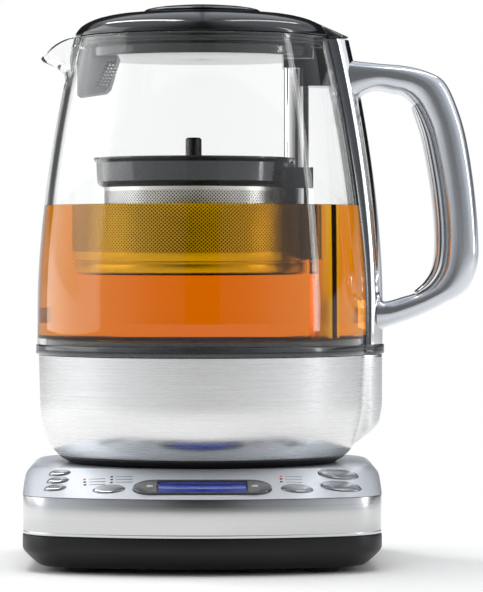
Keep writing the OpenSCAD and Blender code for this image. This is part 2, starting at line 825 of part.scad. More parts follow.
// Handle: outer and inner edge, as [share of the reach, share of the height]
// measured from the foot of the spine and the underside of the lower arm
arm_low_gap = 6;
grip_z = spine_z + arm_low_gap;
grip_x0 = jug_r + spine_out_low;
function grip_pt(p) = [grip_x0 + p[0] * grip_reach, grip_z + p[1] * grip_h];
arm_top_x = (spine_x(grip_z + grip_h) - grip_x0) / grip_reach;
GRIP_OUTER = [[arm_top_x - 0.05, 1.002], [-0.05, 0.99], [0.25, 0.98], [0.49, 0.957],
    [0.65, 0.92], [0.775, 0.83], [0.875, 0.71], [0.957, 0.53], [1, 0.353],
    [0.988, 0.242], [0.87, 0.15], [0.65, 0.102], [0.41, 0.059], [0.15, 0.025],
    [-0.07, 0]];
GRIP_INNER = [[arm_top_x - 0.05, 0.845], [-0.1, 0.889], [0.09, 0.881], [0.22, 0.87],
    [0.325, 0.835], [0.425, 0.77], [0.5, 0.69], [0.588, 0.52], [0.628, 0.353],
    [0.6, 0.24], [0.495, 0.175], [0.355, 0.142], [0.22, 0.126], [0.03, 0.108],
    [-0.07, 0.122]];
grip_steps = 2;
grip_out = [for (p = curve(GRIP_OUTER, grip_steps)) grip_pt(p)];
grip_in = [for (p = curve(GRIP_INNER, grip_steps)) grip_pt(p)];
function bend(v) = sign(v) * pow(abs(v), 0.75);

// Section i of the handle: a rounded bar between the two edges
function grip_ring(i, reach_in, w, corners) =
    let (o = grip_out[i], n = grip_in[i], d = (n - o) / norm(n - o),
        e = n + d * reach_in, mid = (o + e) / 2, half = norm(e - o) / 2)
    [for (k = [0:corners - 1]) let (a = 360 * k / corners)
        [mid[0] + d[0] * half * bend(cos(a)), w / 2 * bend(sin(a)),
         mid[1] + d[1] * half * bend(cos(a))]];

module handle_form() {
    loft([for (i = [0:len(grip_out) - 1]) grip_ring(i, 0, grip_w, 20)]);
}

arm_screw_r = 1.5;
arm_screw_l = 11.5;
arm_screw_in = 0.7;   // from the back of the spine cover
screw_z_top = grip_z + grip_h * 0.925;
screw_z_low = grip_z + grip_h * 0.055;
module arm_screw_cuts(r) {
    for (z = [screw_z_top, screw_z_low])
        translate([spine_x(z) - spine_cover_t - 1, 0, z]) rotate([0, 90, 0])
            cylinder(r = r, h = arm_screw_l + 1.5, $fn = 24);
}

module handle_grip() {
    color([0.8, 0.81, 0.83]) difference() {
        handle_form();
        spine_cutter();
        arm_screw_cuts(arm_screw_r + fit);
    }
}
// The rounded face of the spine and all behind it, to trim the arms
module spine_cutter() {
    r = spine_nose_r + fit;
    quarter = floor(90 / cover_half_angle * cover_steps);
    loft([for (z = spine_levels) let (x = spine_x(z) - 2 * spine_nose_r)
        concat([[x, -r, z]],
            [for (i = [-quarter:quarter]) on_spine(z, i, r)],
            [[x, r, z]])]);
}

liner_first = 8;
liner_last = 22;
module handle_liner() {
    n = liner_last - liner_first;
    color([0.88, 0.89, 0.9]) difference() {
        loft([for (i = [liner_first:liner_last])
            let (t = liner_t * pow(sin(180 * (i - liner_first + 0.4) / (n + 0.8)), 0.35),
                o = grip_out[i], p = grip_in[i], d = (p - o) / norm(p - o),
                h = (t + 4) / 2, mid = p + d * (t - h), w = grip_w * 0.4)
            [for (k = [0:11]) let (a = 30 * k)
                [mid[0] + d[0] * h * bend(cos(a)), w * bend(sin(a)),
                 mid[1] + d[1] * h * bend(cos(a))]]]);
        handle_form();
    }
}

module handle_screws() {
    color([0.6, 0.6, 0.62]) for (z = [screw_z_top, screw_z_low])
        translate([spine_x(z) - spine_cover_t + arm_screw_in, 0, z]) rotate([0, 90, 0])
            cylinder(r = arm_screw_r, h = arm_screw_l - arm_screw_in, $fn = 24);
}

// ---------------------------------------------------------------------- lid

tongue_end_x = spine_x(spine_top_z) - 0.8;
tongue_half_w = 9;
module lid_cover() {
    edge = lid_z + lid_rim_h;
    in_r = skirt_r + 0.3;
    color([0.14, 0.15, 0.17]) difference() {
        union() {
            rotate_extrude() polygon([[0, lid_z], [lid_r, lid_z],
                [lid_r, edge - 1], [lid_r - 0.4, edge - 0.2], [lid_r - 1.8, edge + lid_dome_h * 0.2],
                [lid_r - 6, edge + lid_dome_h * 0.42], [lid_r - 10.6, edge + lid_dome_h * 0.62],
                [lid_r - 17.6, edge + lid_dome_h * 0.84], [knob_r, lid_top_z],
                [0, lid_top_z]]);
            hull() {
                translate([lid_r - 8, -14, lid_z]) cube([1, 28, lid_rim_h + lid_dome_h * 0.5]);
                translate([tongue_end_x - tongue_half_w, 0, lid_z])
                    cylinder(r = tongue_half_w, h = 2.6, $fn = 48);
            }
        }
        translate([0, 0, lid_z - 1]) rotate_extrude() polygon([[0, 0], [in_r, 0],
            [in_r, lid_rim_h], [in_r - 12, lid_rim_h + lid_dome_h * 0.5],
            [knob_r, lid_rim_h + lid_dome_h - lid_wall + 1],
            [0, lid_rim_h + lid_dome_h - lid_wall + 1]]);
        translate([0, 0, lid_top_z - lid_wall - 1]) cylinder(r = 4, h = lid_wall + 2);
    }
}

module lid_knob() {
    z = lid_top_z + eps;
    color([0.05, 0.05, 0.06]) {
        rotate_extrude() polygon([[0, z], [knob_r, z], [knob_r, z + 0.9],
            [knob_r - 2.2, z + knob_h * 0.45], [knob_r * 0.75, z + knob_h * 0.72],
            [knob_r * 0.5, z + knob_h * 0.9], [knob_r * 0.2, z + knob_h], [0, z + knob_h]]);
        translate([0, 0, lid_top_z - lid_wall - 1.5]) cylinder(r = 4 - fit, h = lid_wall + 2);
    }
}

seal_z = rim_z - 4;
module lid_skirt() {
    wall = 2.8;
    top = lid_z + lid_rim_h - 1 - seam;
    color([0.5, 0.52, 0.55]) rotate_extrude() polygon([
        [0, skirt_z], [skirt_low_r - 1.2, skirt_z], [skirt_low_r, skirt_z + 1.2],
        [skirt_low_r, seal_z - 0.6], [skirt_r, seal_z], [skirt_r - 1, seal_z],
        [skirt_r - 1, seal_z + 2.4], [skirt_r, seal_z + 2.4], [skirt_r, top],
        [skirt_r - wall, top], [skirt_r - wall, seal_z + 1],
        [skirt_low_r - 1.8, seal_z], [skirt_low_r - 1.8, skirt_z + 1.8],
        [0, skirt_z + 1.8]]);
}

module lid_seal() {
    color([0.3, 0.31, 0.33]) translate([0, 0, seal_z + fit]) difference() {
        cylinder(r = mouth_r - run_fit, h = 2.4 - 2 * fit);
        translate([0, 0, -1]) cylinder(r = skirt_r - 1 + fit, h = 5);
    }
}

// Filter in the throat of the spout: a scoop with pierced side walls
filter_x = mouth_r + 1.6;
filter_depth = 27;
filter_l = 22;
throat_w = 10;
filter_w = 30;
filter_hole_r = 0.45;
filter_pitch = 1.5;
module spout_filter() {
    t = 1.3;
    low = rim_z - filter_depth;
    top = seal_z - 1;
    color([0.55, 0.57, 0.6]) difference() {
        filter_form(0, low, top);
        filter_form(t, low + t, top + 1);
        translate([0, 0, skirt_z - eps]) cylinder(r = skirt_low_r + fit, h = 20);
        for (i = [0:7]) for (j = [0:3])
            translate([-filter_x + 9.2 + filter_pitch * (j + i / 2), filter_w,
                low + 5 + filter_pitch * i])
                rotate([90, 0, 0]) cylinder(r = filter_hole_r, h = 2 * filter_w, $fn = 16);
    }
}
module filter_form(inset, low, top) {
    tip = inset - filter_x;
    far = filter_l - filter_x;
    intersection() {
        translate([0, 0, low]) linear_extrude(top - low) polygon([
            [tip, -throat_w / 2 + inset], [far, -filter_w / 2 + inset],
            [far + inset, filter_w / 2 - inset], [tip, throat_w / 2 - inset]]);
        translate([0, filter_w, 0]) rotate([90, 0, 0]) linear_extrude(2 * filter_w) polygon([
            [-filter_x, low + 1], [-filter_x + 1, low], [-filter_x + 13, low + 2],
            [-filter_x + 15, low + 4], [far - 1, top + 2], [-filter_x, top + 2]]);
    }
}

// Block that holds the top of the rail against the glass
block_half = 9;
block_h = 22;        // from the rim down to its foot
block_step_h = 13.8; // from the rim down to the step beside the rail
module rail_block() {
    low = rim_z - block_h;
    step = rim_z - block_step_h;
    top = skirt_z - loose;
    left = rail_x - rail_r - 0.5;
    color([0.24, 0.25, 0.28]) difference() {
        intersection() {
            translate([0, block_half, 0]) rotate([90, 0, 0])
                linear_extrude(2 * block_half) polygon([
                    [left, step], [rail_x + 3, step], [rail_x + 3, low],
                    [jug_r, low], [jug_r, seal_z - 0.8], [left, seal_z - 0.8]]);
            rotate_extrude() polygon(concat([[0, low - 1]],
                [for (z = [low - 1, (low + seal_z) / 2, seal_z])
                    [glass_r(z) - glass_wall - 1.3, z]], [[0, seal_z]]));
        }
        translate([rail_x, 0, low - 1])
            cylinder(r = rail_r + fit, h = rail_top_z + 3.2 - low);
        translate([0, 0, top]) cylinder(r = skirt_low_r + loose, h = 20);
    }
}

// ------------------------------------------------------------------- basket

rail_boss_r = rail_r + 1.2;
lid_seat_z = collar_z + collar_h - 1.6;
cup_seat_h = 3.6;      // height of the seat of the cup inside the collar
magnet_r = 1.5;
magnet_h = 24;
magnet_out = rail_r + 2.45;
magnet_angle = 112;
magnet_places = [for (s = [-1, 1])
    [rail_x + magnet_out * cos(magnet_angle), s * magnet_out * sin(magnet_angle)]];

module basket_collar() {
    top = collar_z + collar_h;
    color([0.33, 0.35, 0.38]) difference() {
        union() {
            translate([basket_x, 0, 0]) rotate_extrude() polygon([
                [cup_r - 1, collar_z], [cup_r + 0.6, collar_z],
                [collar_r - 1.2, collar_z + 1], [collar_r - 0.4, collar_z + 2.6],
                [collar_r, top - 2.4], [collar_r + 1.2, top - 0.8],
                [collar_r + 1.2, top], [collar_r - 0.2, top],
                [collar_r - 1.4, lid_seat_z], [cup_r - 1, lid_seat_z]]);
            // clip round the rail
            translate([rail_x, 0, clip_z]) linear_extrude(clip_h) offset(r = 1.5)
                square([2 * rail_r + 0.2, 2 * rail_r + 4], center = true);
            // saddle that holds the magnets against the rail
            translate([rail_x - 0.7, 0, clip_z - bracket_drop]) intersection() {
                cylinder(r = 11, h = bracket_drop + 2);
                translate([-12, -10, 0]) cube([12, 20, bracket_drop + 2]);
            }
        }
        translate([rail_x, 0, 0]) cylinder(r = rail_r + run_fit, h = 2 * rim_z);
        translate([basket_x, 0, 0]) cylinder(r = cup_r + fit, h = collar_z + cup_seat_h);
        difference() {
            translate([basket_x, 0, collar_z + cup_seat_h - 0.1])
                cylinder(r = collar_r - 2.4, h = collar_h);
            translate([rail_x, 0, 0]) cylinder(r = rail_boss_r, h = lid_seat_z + 1);
        }
        for (p = magnet_places) translate([p[0], p[1], clip_z - bracket_drop - 1])
            cylinder(r = magnet_r + fit, h = magnet_h + 2);
    }
}

module basket_magnets() {
    color([0.55, 0.55, 0.57]) for (p = magnet_places)
        translate([p[0], p[1], clip_z - bracket_drop]) cylinder(r = magnet_r, h = magnet_h);
}

module basket_cup() {
    groove_z = cup_z + 5.5;
    top = collar_z + cup_seat_h - seam;
    r = cup_r;
    t = cup_wall;
    color([0.82, 0.82, 0.83]) translate([basket_x, 0, 0]) rotate_extrude() polygon([
        [0, cup_z + 1], [r - 5, cup_z + 1], [r - 4, cup_z], [r - 1.6, cup_z],
        [r - 0.8, cup_z + 0.8], [r - 0.8, groove_z - 0.6], [r - 1.4, groove_z],
        [r - 1.4, groove_z + 0.5], [r, groove_z + 1.2], [r, top], [r - t, top],
        [r - t, groove_z + 1.6], [r - 1.4 - t, groove_z + 0.8], [r - 1.4 - t, cup_z + 1.6],
        [r - 4.4, cup_z + 1 + t], [0, cup_z + 1 + t]]);
}

lid_lug_r = 2;
module basket_lid() {
    r = collar_r - 1.4 - loose;
    color([0.33, 0.35, 0.38]) translate([basket_x, 0, lid_seat_z + fit]) difference() {
        rotate_extrude() polygon([[0, 0], [r, 0], [r, 1.2], [r - 1, 1.4], [0, 1.4]]);
        translate([0, 0, -1]) cylinder(r = lid_lug_r, h = 4);
        translate([rail_x - basket_x, 0, -1]) cylinder(r = rail_boss_r + loose, h = 4);
    }
}

stub_r = 3.7;
stub_h = 9.6;
module basket_lid_knob() {
    z = lid_seat_z + fit + 1.4;
    color([0.04, 0.04, 0.05]) translate([basket_x, 0, z]) {
        rotate_extrude() polygon([[0, 0], [stub_r, 0], [stub_r, stub_h - 0.8],
            [stub_r - 0.8, stub_h], [0, stub_h]]);
        translate([0, 0, -1.3]) cylinder(r = lid_lug_r - fit, h = 2);
    }
}

// Inside the rail: a magnetic nut on a lead screw
carriage_h = 26;
carriage_z = clip_z - bracket_drop;
ring_magnet_h = 6;
module lift_carriage() {
    r = rail_r - rail_wall - run_fit;
    color([0.85, 0.85, 0.8]) translate([rail_x, 0, carriage_z]) difference() {
        cylinder(r = r, h = carriage_h);
        for (z = [4, 16]) translate([0, 0, z]) difference() {
            cylinder(r = r + 1, h = ring_magnet_h);
            translate([0, 0, -1]) cylinder(r = 3.4, h = ring_magnet_h + 2);
        }
        translate([0, 0, -1]) cylinder(r = screw_r + fit, h = carriage_h + 2);
    }
}

module carriage_magnets() {
    r = rail_r - rail_wall - run_fit;
    color([0.55, 0.55, 0.57]) for (z = [4, 16])
        translate([rail_x, 0, carriage_z + z + fit]) difference() {
            cylinder(r = r - fit, h = ring_magnet_h - 2 * fit);
            translate([0, 0, -1]) cylinder(r = 3.4 + fit, h = ring_magnet_h + 2);
        }
}

module lead_screw() {
    color([0.65, 0.66, 0.68]) translate([rail_x, 0, screw_z])
        cylinder(r = screw_r, h = rail_top_z - 1.5 - screw_z);
}

base_tray();
base_band();
base_top();
display_bezel();
display_lens();
display_module();
control_board();
key_switches();
indicator_leds();
power_board();
coupler_socket();
coupler_contacts();
cord_gland();
rubber_feet();
base_screws();
button_left_back();
button_left_middle();
button_left_front();
button_front_left();
button_minus();
button_plus();
button_front_right();
button_right_back();
button_right_front();
jug_sole();
jug_connector();
connector_pins();
steel_pot();
jug_ring();
jug_gasket();
heating_plate();
heating_element();
plate_thermostat();
lift_motor();
motor_bracket();
rail_tube();
rail_cap();
glass_jug();
spine_backing();
spine_cover();
handle_grip();
handle_liner();
handle_screws();
lid_cover();
lid_knob();
lid_skirt();
lid_seal();
spout_filter();
rail_block();
basket_collar();
basket_cup();
basket_magnets();
basket_lid();
basket_lid_knob();
lift_carriage();
carriage_magnets();
lead_screw();
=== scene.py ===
import math

import bmesh
import bpy
import numpy as np
from mathutils import Matrix, Vector
from mathutils.geometry import delaunay_2d_cdt


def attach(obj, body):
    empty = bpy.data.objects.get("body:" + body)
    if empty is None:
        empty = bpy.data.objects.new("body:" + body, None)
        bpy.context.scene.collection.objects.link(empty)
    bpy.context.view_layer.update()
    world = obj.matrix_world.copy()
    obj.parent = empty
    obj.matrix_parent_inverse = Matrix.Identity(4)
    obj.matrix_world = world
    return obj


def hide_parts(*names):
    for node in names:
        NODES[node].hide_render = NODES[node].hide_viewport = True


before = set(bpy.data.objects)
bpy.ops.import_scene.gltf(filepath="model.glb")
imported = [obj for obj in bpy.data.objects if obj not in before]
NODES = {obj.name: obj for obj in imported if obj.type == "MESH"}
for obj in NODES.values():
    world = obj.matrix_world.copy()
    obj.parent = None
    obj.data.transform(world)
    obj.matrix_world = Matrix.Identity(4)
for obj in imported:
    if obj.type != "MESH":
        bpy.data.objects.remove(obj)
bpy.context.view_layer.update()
MM = 0.001

# ------------------------------------------------------------------ sizes, mm
# The same values as in the part's source, with the tea's level added.
BASE_W, BASE_D = 159.0, 172.0
FRONT, BOW = 100.0, 150.0  # how far forward the front edge lies, and the radius of its bow
CORNER, REAR_CORNER = 25.0, 40.0
TRAY_Z, TRAY_TOP, BAND_Z, BAND_TOP, EDGE_Z, DECK_Z = 2.5, 16.3, 16.5, 33.3, 33.5, 44.5
RUN, SHOULDER = 36.0, 5.0  # length of the sloping panel, and the round at its top
SLOPE = (DECK_Z - EDGE_Z) / RUN
TILT = math.atan(SLOPE)
REAR = BASE_D - FRONT
SOLE_Z, POT_Z, RING_Z = 44.7, 48.0, 94.0
RING_TOP, GLASS_Z, RIM_Z, NECK_Z = 98.5, 97.0, 238.5, 115.0
JUG_R, GLASS_T, DROP = 75.7, 3.0, 17.0
LID_Z = RIM_Z + 0.2
LID_TOP = LID_Z + 5 + 6.6
LID_R, LID_CROWN_R = 58.3, 46.0
SPINE_R, SPINE_DEEP = 14.0, 5.8
BASKET_X, CUP_R, CUP_DEEP = -4.0, 41.0, 42.0
COLLAR_Z = GLASS_Z + 86.6 - 13.5
TEA_Z = 161.5


def glass_r(z):
    """Outer radius of the glass."""
    if z < NECK_Z:
        return JUG_R
    return JUG_R - DROP * ((z - NECK_Z) / (RIM_Z - NECK_Z)) ** 1.75


def spine_x(z):
    """Where the spine's cover stands furthest from the axis."""
    return glass_r(z) + 7.2 + 1.3 * (z - RING_TOP) / (RIM_Z - 0.6 - RING_TOP)


# ------------------------------------------------------------------ materials
class Mat:
    """The nodes of a material or of the world, built with short calls."""

    def __init__(self, name, world=False):
        self.m = (bpy.data.worlds if world else bpy.data.materials).new(name)
        self.m.use_nodes = True
        self.t = self.m.node_tree
        self.t.nodes.clear()
        self.out = self.node("OutputWorld" if world else "OutputMaterial")

    def node(self, kind, **sockets):
        """A node: a key that starts with _ is a setting, any other an input."""
        n = self.t.nodes.new("ShaderNode" + kind)
        for key, value in sockets.items():
            if key.startswith("_"):
                setattr(n, key[1:], value)
            else:
                self.set(n, key.replace("_", " "), value)
        return n

    def set(self, n, key, value):
        s = n.inputs[int(key)] if key.isdigit() else n.inputs[key]
        if isinstance(value, bpy.types.NodeSocket):
            self.t.links.new(value, s)
        elif isinstance(value, bpy.types.Node):
            self.t.links.new(value.outputs[0], s)
        else:
            s.default_value = value

    def coords(self, scale=(1, 1, 1)):
        return self.node("Mapping", Vector=self.place(), Scale=scale).outputs[0]

    def place(self, kind="Object"):
        return self.node("TexCoord").outputs[kind]

    def noise(self, scale, stretch=(1, 1, 1), detail=4.0):
        n = self.node("TexNoise", Vector=self.coords(stretch), Scale=scale, Detail=detail,
                      Roughness=0.55)
        return n.outputs["Fac"]

    def ramp(self, fac, stops):
        r = self.node("ValToRGB", Fac=fac)
        els = r.color_ramp.elements
        while len(els) > len(stops):
            els.remove(els[-1])
        while len(els) < len(stops):
            els.new(0.5)
        for e, (p, c) in zip(els, stops):
            e.position = p
            e.color = (*c, 1) if len(c) == 3 else c
        return r.outputs[0]

    def tones(self, fac, low, high, tint=(1, 1, 1)):
        return self.ramp(fac, [(0.3, grey(low, tint)), (0.7, grey(high, tint))])

    def span(self, fac, low, high):
        return self.node("MapRange", Value=fac, To_Min=low, To_Max=high).outputs[0]

    def step(self, value, a, b, low=0.0, high=1.0):
        """Eases from low at a to high at b."""
        return self.node("MapRange", Value=value, _interpolation_type="SMOOTHSTEP", From_Min=a,
                         From_Max=b, To_Min=low, To_Max=high).outputs[0]

    def math(self, op, a, b=None):
        n = self.node("Math", _operation=op)
        self.set(n, "0", a)
        if b is not None:
            self.set(n, "1", b)
        return n.outputs[0]

    def mix(self, fac, a, b):
        """A mix of two shaders."""
        n = self.node("MixShader", Fac=fac)
        self.set(n, "1", a)
        self.set(n, "2", b)
        return n

    def bump(self, height, strength=0.2, distance=0.0003):
        return self.node("Bump", Height=height, Strength=strength, Distance=distance).outputs[0]

    def surface(self, shader):
        self.set(self.out, "Surface", shader)
        return self.m

    def principled(self, **kw):
        return self.surface(self.node("BsdfPrincipled", **kw))


def grey(v, tint=(1.0, 1.0, 1.0)):
    return (v * tint[0], v * tint[1], v * tint[2])


COOL = (0.94, 0.98, 1.05)
BLUISH = (0.86, 1.0, 1.18)
DIM = (0.45, 0.45, 0.45, 1)  # tint of the mirror-like part of glass and tea


def plastic(name, low, high, rough, bump=0.08, coat=0.0, tint=COOL, spec=0.5):
    """Moulded plastic: a fine grain, and a slow change of tone over the piece."""
    m = Mat(name)
    n = m.noise(900.0, detail=3)
    wide = m.noise(28.0, detail=2)
    mix = m.node("Mix", _data_type="FLOAT")
    m.set(mix, "0", 0.5)
    m.set(mix, "2", n)
    m.set(mix, "3", wide)
    return m.principled(
        Base_Color=m.ramp(mix.outputs[0], [(0.35, grey(low, tint)), (0.65, grey(high, tint))]),
        Roughness=m.span(wide, rough, rough * 1.25),
        Normal=m.bump(n, bump, 0.00015),
        Specular_IOR_Level=spec, Coat_Weight=coat, Coat_Roughness=0.06)


def brushed(name, stretch, low, high, rough_lo, rough_hi, bump=0.12, around=False, aniso=0.55):
    """Brushed metal: noise stretched along the brush lines, or round the Z axis."""
    m = Mat(name)
    if around:
        sep = m.node("SeparateXYZ", Vector=m.place())
        angle = m.math("ARCTAN2", sep.outputs["Y"], sep.outputs["X"])
        vec = m.node("CombineXYZ", X=angle, Y=sep.outputs["Z"]).outputs[0]
        vec = m.node("Mapping", Vector=vec, Scale=stretch).outputs[0]
    else:
        vec = m.coords(stretch)
    fine = m.node("TexNoise", Vector=vec, Scale=1.0, Detail=5.0, Roughness=0.65).outputs["Fac"]
    return m.principled(
        Base_Color=m.tones(fine, low, high), Metallic=1.0, Anisotropic=aniso,
        Roughness=m.span(fine, rough_lo, rough_hi), Normal=m.bump(fine, bump, 0.00008))


def lacquer(name, grain, low, high, metallic, rough, coat, coat_rough, bump=0.0):
    """Metallic lacquer: fine flakes under a clear coat."""
    m = Mat(name)
    f = m.noise(grain, detail=2)
    relief = {"Normal": m.bump(f, bump, 0.0001)} if bump else {}
    return m.principled(
        Base_Color=m.tones(f, low, high, COOL), Metallic=metallic, Roughness=m.span(f, *rough),
        Coat_Weight=coat, Coat_Roughness=coat_rough, **relief)


def make_materials():
    d = {}
    d["black"] = plastic("satin_black", 0.005, 0.010, 0.34, bump=0.12, spec=0.3)
    d["rubber"] = plastic("rubber_matte", 0.010, 0.02, 0.7, bump=0.3)
    d["dark"] = plastic("dark_gloss_grey", 0.025, 0.045, 0.16, bump=0.02, coat=0.4)
    d["slate"] = plastic("slate_gloss_grey", 0.020, 0.031, 0.16, bump=0.02, coat=0.5, tint=BLUISH)
    d["collar"] = plastic("collar_grey", 0.034, 0.047, 0.2, bump=0.03, coat=0.6, tint=BLUISH)
    d["filter"] = plastic("filter_grey", 0.20, 0.25, 0.4, bump=0.05)
    d["lid"] = plastic("lid_black", 0.006, 0.011, 0.12, bump=0.01, coat=0.35)
    d["tick"] = plastic("printed_tick", 0.12, 0.16, 0.5)
    d["board"] = plastic("board_green", 0.03, 0.05, 0.35, tint=(0.3, 1.2, 0.5))
    d["white"] = plastic("natural_acetal", 0.6, 0.68, 0.4, tint=(1, 0.99, 0.93))
    d["band"] = brushed("brushed_band", (3, 3, 2600), 0.56, 0.64, 0.20, 0.27, bump=0.04, aniso=0.4)
    d["pot"] = brushed("brushed_pot", (1.5, 1600, 1), 0.68, 0.78, 0.22, 0.32, around=True)
    d["plate"] = brushed("plate_satin", (60, 60, 60), 0.10, 0.16, 0.4, 0.55, aniso=0.0)
    d["screw"] = brushed("zinc_steel", (200, 200, 200), 0.45, 0.55, 0.3, 0.4, aniso=0.0)
    d["brass"] = brushed("contact_metal", (200, 200, 200), 0.5, 0.6, 0.25, 0.35, aniso=0.0)
    # polished steel with the faint waviness of drawn sheet
    m = Mat("polished_steel")
    n = m.noise(30.0, (1, 1, 0.25), detail=2)
    f = m.noise(800.0, (1, 1, 0.05))
    d["chrome"] = m.principled(
        Base_Color=m.tones(f, 0.80, 0.88), Metallic=1.0,
        Roughness=m.span(f, 0.05, 0.11), Normal=m.bump(n, 0.05, 0.0006))
    # the top cover, the handle and the keys
    d["silver"] = lacquer("silver_lacquer", 2600.0, 0.66, 0.74, 0.5, (0.30, 0.40), 0.35, 0.12, 0.05)
    d["handle"] = lacquer("handle_lacquer", 2200.0, 0.62, 0.70, 0.75, (0.13, 0.19), 0.6, 0.04, 0.02)
    d["button"] = lacquer("button_lacquer", 2600.0, 0.22, 0.28, 0.8, (0.12, 0.2), 0.8, 0.04)
    # the basket's sheet, a little warmer in its low tones
    m = Mat("mesh_sheet")
    f = m.noise(420.0, (1, 1, 3), detail=3)
    d["mesh"] = m.principled(
        Base_Color=m.ramp(f, [(0.3, grey(0.80, (1.0, 0.98, 0.95))), (0.7, grey(0.88))]),
        Metallic=1.0, Roughness=m.span(f, 0.28, 0.4))
    # seals, of dark grey silicone
    m = Mat("silicone_seal")
    f = m.noise(300.0)
    d["seal"] = m.principled(
        Base_Color=m.tones(f, 0.08, 0.11), Roughness=m.span(f, 0.3, 0.45))
    # glass, with a breath of waviness
    m = Mat("clear_glass")
    n = m.noise(9.0, (1, 1, 0.4), detail=1)
    d["glass"] = m.principled(
        Base_Color=(0.98, 0.985, 0.985, 1), Roughness=0.0, IOR=1.46, Transmission_Weight=1.0,
        Specular_Tint=DIM, Normal=m.bump(n, 0.03, 0.0005))
    # display: faint columns behind a clear window
    m = Mat("blue_display")
    sep = m.node("SeparateXYZ", Vector=m.place())
    line = m.node("TexWave", Vector=m.place(), Scale=30.0, _bands_direction="X").outputs["Fac"]
    d["display"] = m.principled(
        Base_Color=m.ramp(line, [(0.0, (0.012, 0.03, 0.26)), (1.0, (0.018, 0.04, 0.34))]),
        Roughness=0.12, Coat_Weight=1.0, Coat_Roughness=0.03, Emission_Strength=0.08,
        Emission_Color=m.ramp(m.span(sep.outputs["X"], 0, 1),
                              [(0.0, (0.02, 0.04, 0.42)), (1.0, (0.05, 0.09, 0.62))]))
    m = Mat("lamp_red")
    f = m.noise(500.0)
    d["lamp"] = m.principled(
        Base_Color=m.ramp(f, [(0.2, (0.5, 0.01, 0.01)), (0.8, (0.8, 0.03, 0.02))]),
        Roughness=0.2, Emission_Strength=0.6, Emission_Color=(0.8, 0.03, 0.02, 1))
    m = Mat("lamp_dark")
    f = m.noise(500.0)
    d["lamp_off"] = m.principled(Base_Color=m.ramp(f, [(0.2, grey(0.02)), (0.8, grey(0.04))]),
                                 Roughness=0.25)
    # tea: clear amber, deeper where there is more of it
    m = Mat("tea")
    m.set(m.out, "Volume", m.node("VolumeAbsorption", Density=150.0, Color=(0.983, 0.909, 0.02, 1)))
    d["tea"] = m.principled(Base_Color=(1, 1, 1, 1), Roughness=0.0, IOR=1.33,
                            Transmission_Weight=1.0, Specular_Tint=DIM)
    # near-black leaves for the basket: partly real wet leaves, partly painted shade that darkens
    # the inside of the basket
    m = Mat("leaves_and_painted_shade")
    f = m.noise(260.0, (1, 1, 1.6), detail=5)
    d["leaves"] = m.principled(
        Base_Color=m.ramp(f, [(0.35, (0.012, 0.008, 0.004)), (0.7, (0.045, 0.026, 0.010))]),
        Roughness=m.span(f, 0.45, 0.7), Normal=m.bump(f, 0.4, 0.0006))
    return d


M = make_materials()


# ---------------------------------------------------------------- mesh helpers
def add_object(name, data):
    ob = bpy.data.objects.new(name, data)
    bpy.context.scene.collection.objects.link(ob)
    return ob


def put(name, verts, faces, body, mat, slot, replaces=(), smooth=38.0, normals=None):
    """A mesh object in place, from points in millimetres."""
    me = bpy.data.meshes.new(name)
    me.from_pydata([tuple(c * MM for c in v) for v in verts], [], [tuple(f) for f in faces])
    me.validate()
    if normals is None:
        bm = bmesh.new()
        bm.from_mesh(me)
        bmesh.ops.remove_doubles(bm, verts=bm.verts, dist=1e-6)
        bmesh.ops.recalc_face_normals(bm, faces=bm.faces)
        bm.to_mesh(me)
        bm.free()
    me.shade_smooth()
    if normals is None:
        me.set_sharp_from_angle(angle=math.radians(smooth))
    else:
        me.normals_split_custom_set_from_vertices([tuple(n) for n in normals])
    me.materials.append(M[mat])
    ob = add_object(name, me)
    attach(ob, body)
    if replaces:
        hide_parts(*replaces)
    return ob


def loft(rings, caps=(True, True), closed=False):
    """A skin over rings of as many points each; closed joins the last ring to the first."""
    n, last = len(rings[0]), len(rings) - 1
    faces = []
    for j in range(len(rings) if closed else last):
        low, high = j * n, (j + 1) % len(rings) * n
        faces += [(low + i, low + (i + 1) % n, high + (i + 1) % n, high + i) for i in range(n)]
    if caps[0] and not closed:
        faces.append(tuple(range(n - 1, -1, -1)))
    if caps[1] and not closed:
        faces.append(tuple(last * n + i for i in range(n)))
    return [p for r in rings for p in r], faces


def spin(profile, segs=160, cx=0.0, cy=0.0, closed=False, shape=None):
    """A turned form. profile is (r, z) points; shape(angle, r, z) may move one."""
    rings = []
    for r, z in profile:
        ring = []
        for i in range(segs):
            a = 2 * math.pi * i / segs
            rr, zz = shape(a, r, z) if shape else (r, z)
            ring.append((cx + rr * math.cos(a), cy + rr * math.sin(a), zz))
        rings.append(ring)
    return loft(rings, (profile[0][0] > 0.01, profile[-1][0] > 0.01), closed)


def rounded(profile, r, steps):
    """Rounds the corners of a closed (r, z) outline, but not its near-straight points."""
    out = []
    n = len(profile)
    for i in range(n):
        p = Vector(profile[i])
        a = Vector(profile[i - 1]) - p
        b = Vector(profile[(i + 1) % n]) - p
        if a.length < 1e-6 or b.length < 1e-6:
            continue
        turn = a.normalized().dot(b.normalized())
        if turn < -0.96:
            out.append(tuple(p))
            continue
        d = min(r, a.length * 0.45, b.length * 0.45)
        s, e = p + a.normalized() * d, p + b.normalized() * d
        for k in range(steps + 1):
            t = k / steps
            q = (1 - t) ** 2 * s + 2 * t * (1 - t) * p + t * t * e
            out.append(tuple(q))
    return out


def curve(points, steps):
    """A smooth curve through the points."""
    p = [Vector(q) for q in points]
    out = []
    for i in range(len(p) - 1):
        a, b, c, d = p[max(i - 1, 0)], p[i], p[i + 1], p[min(i + 2, len(p) - 1)]
        for s in range(steps):
            t = s / steps
            out.append(0.5 * (2 * b + (c - a) * t + (2 * a - 5 * b + 4 * c - d) * t * t
                              + (3 * b - a - 3 * c + d) * t ** 3))
    out.append(p[-1])
    return [tuple(q) for q in out]


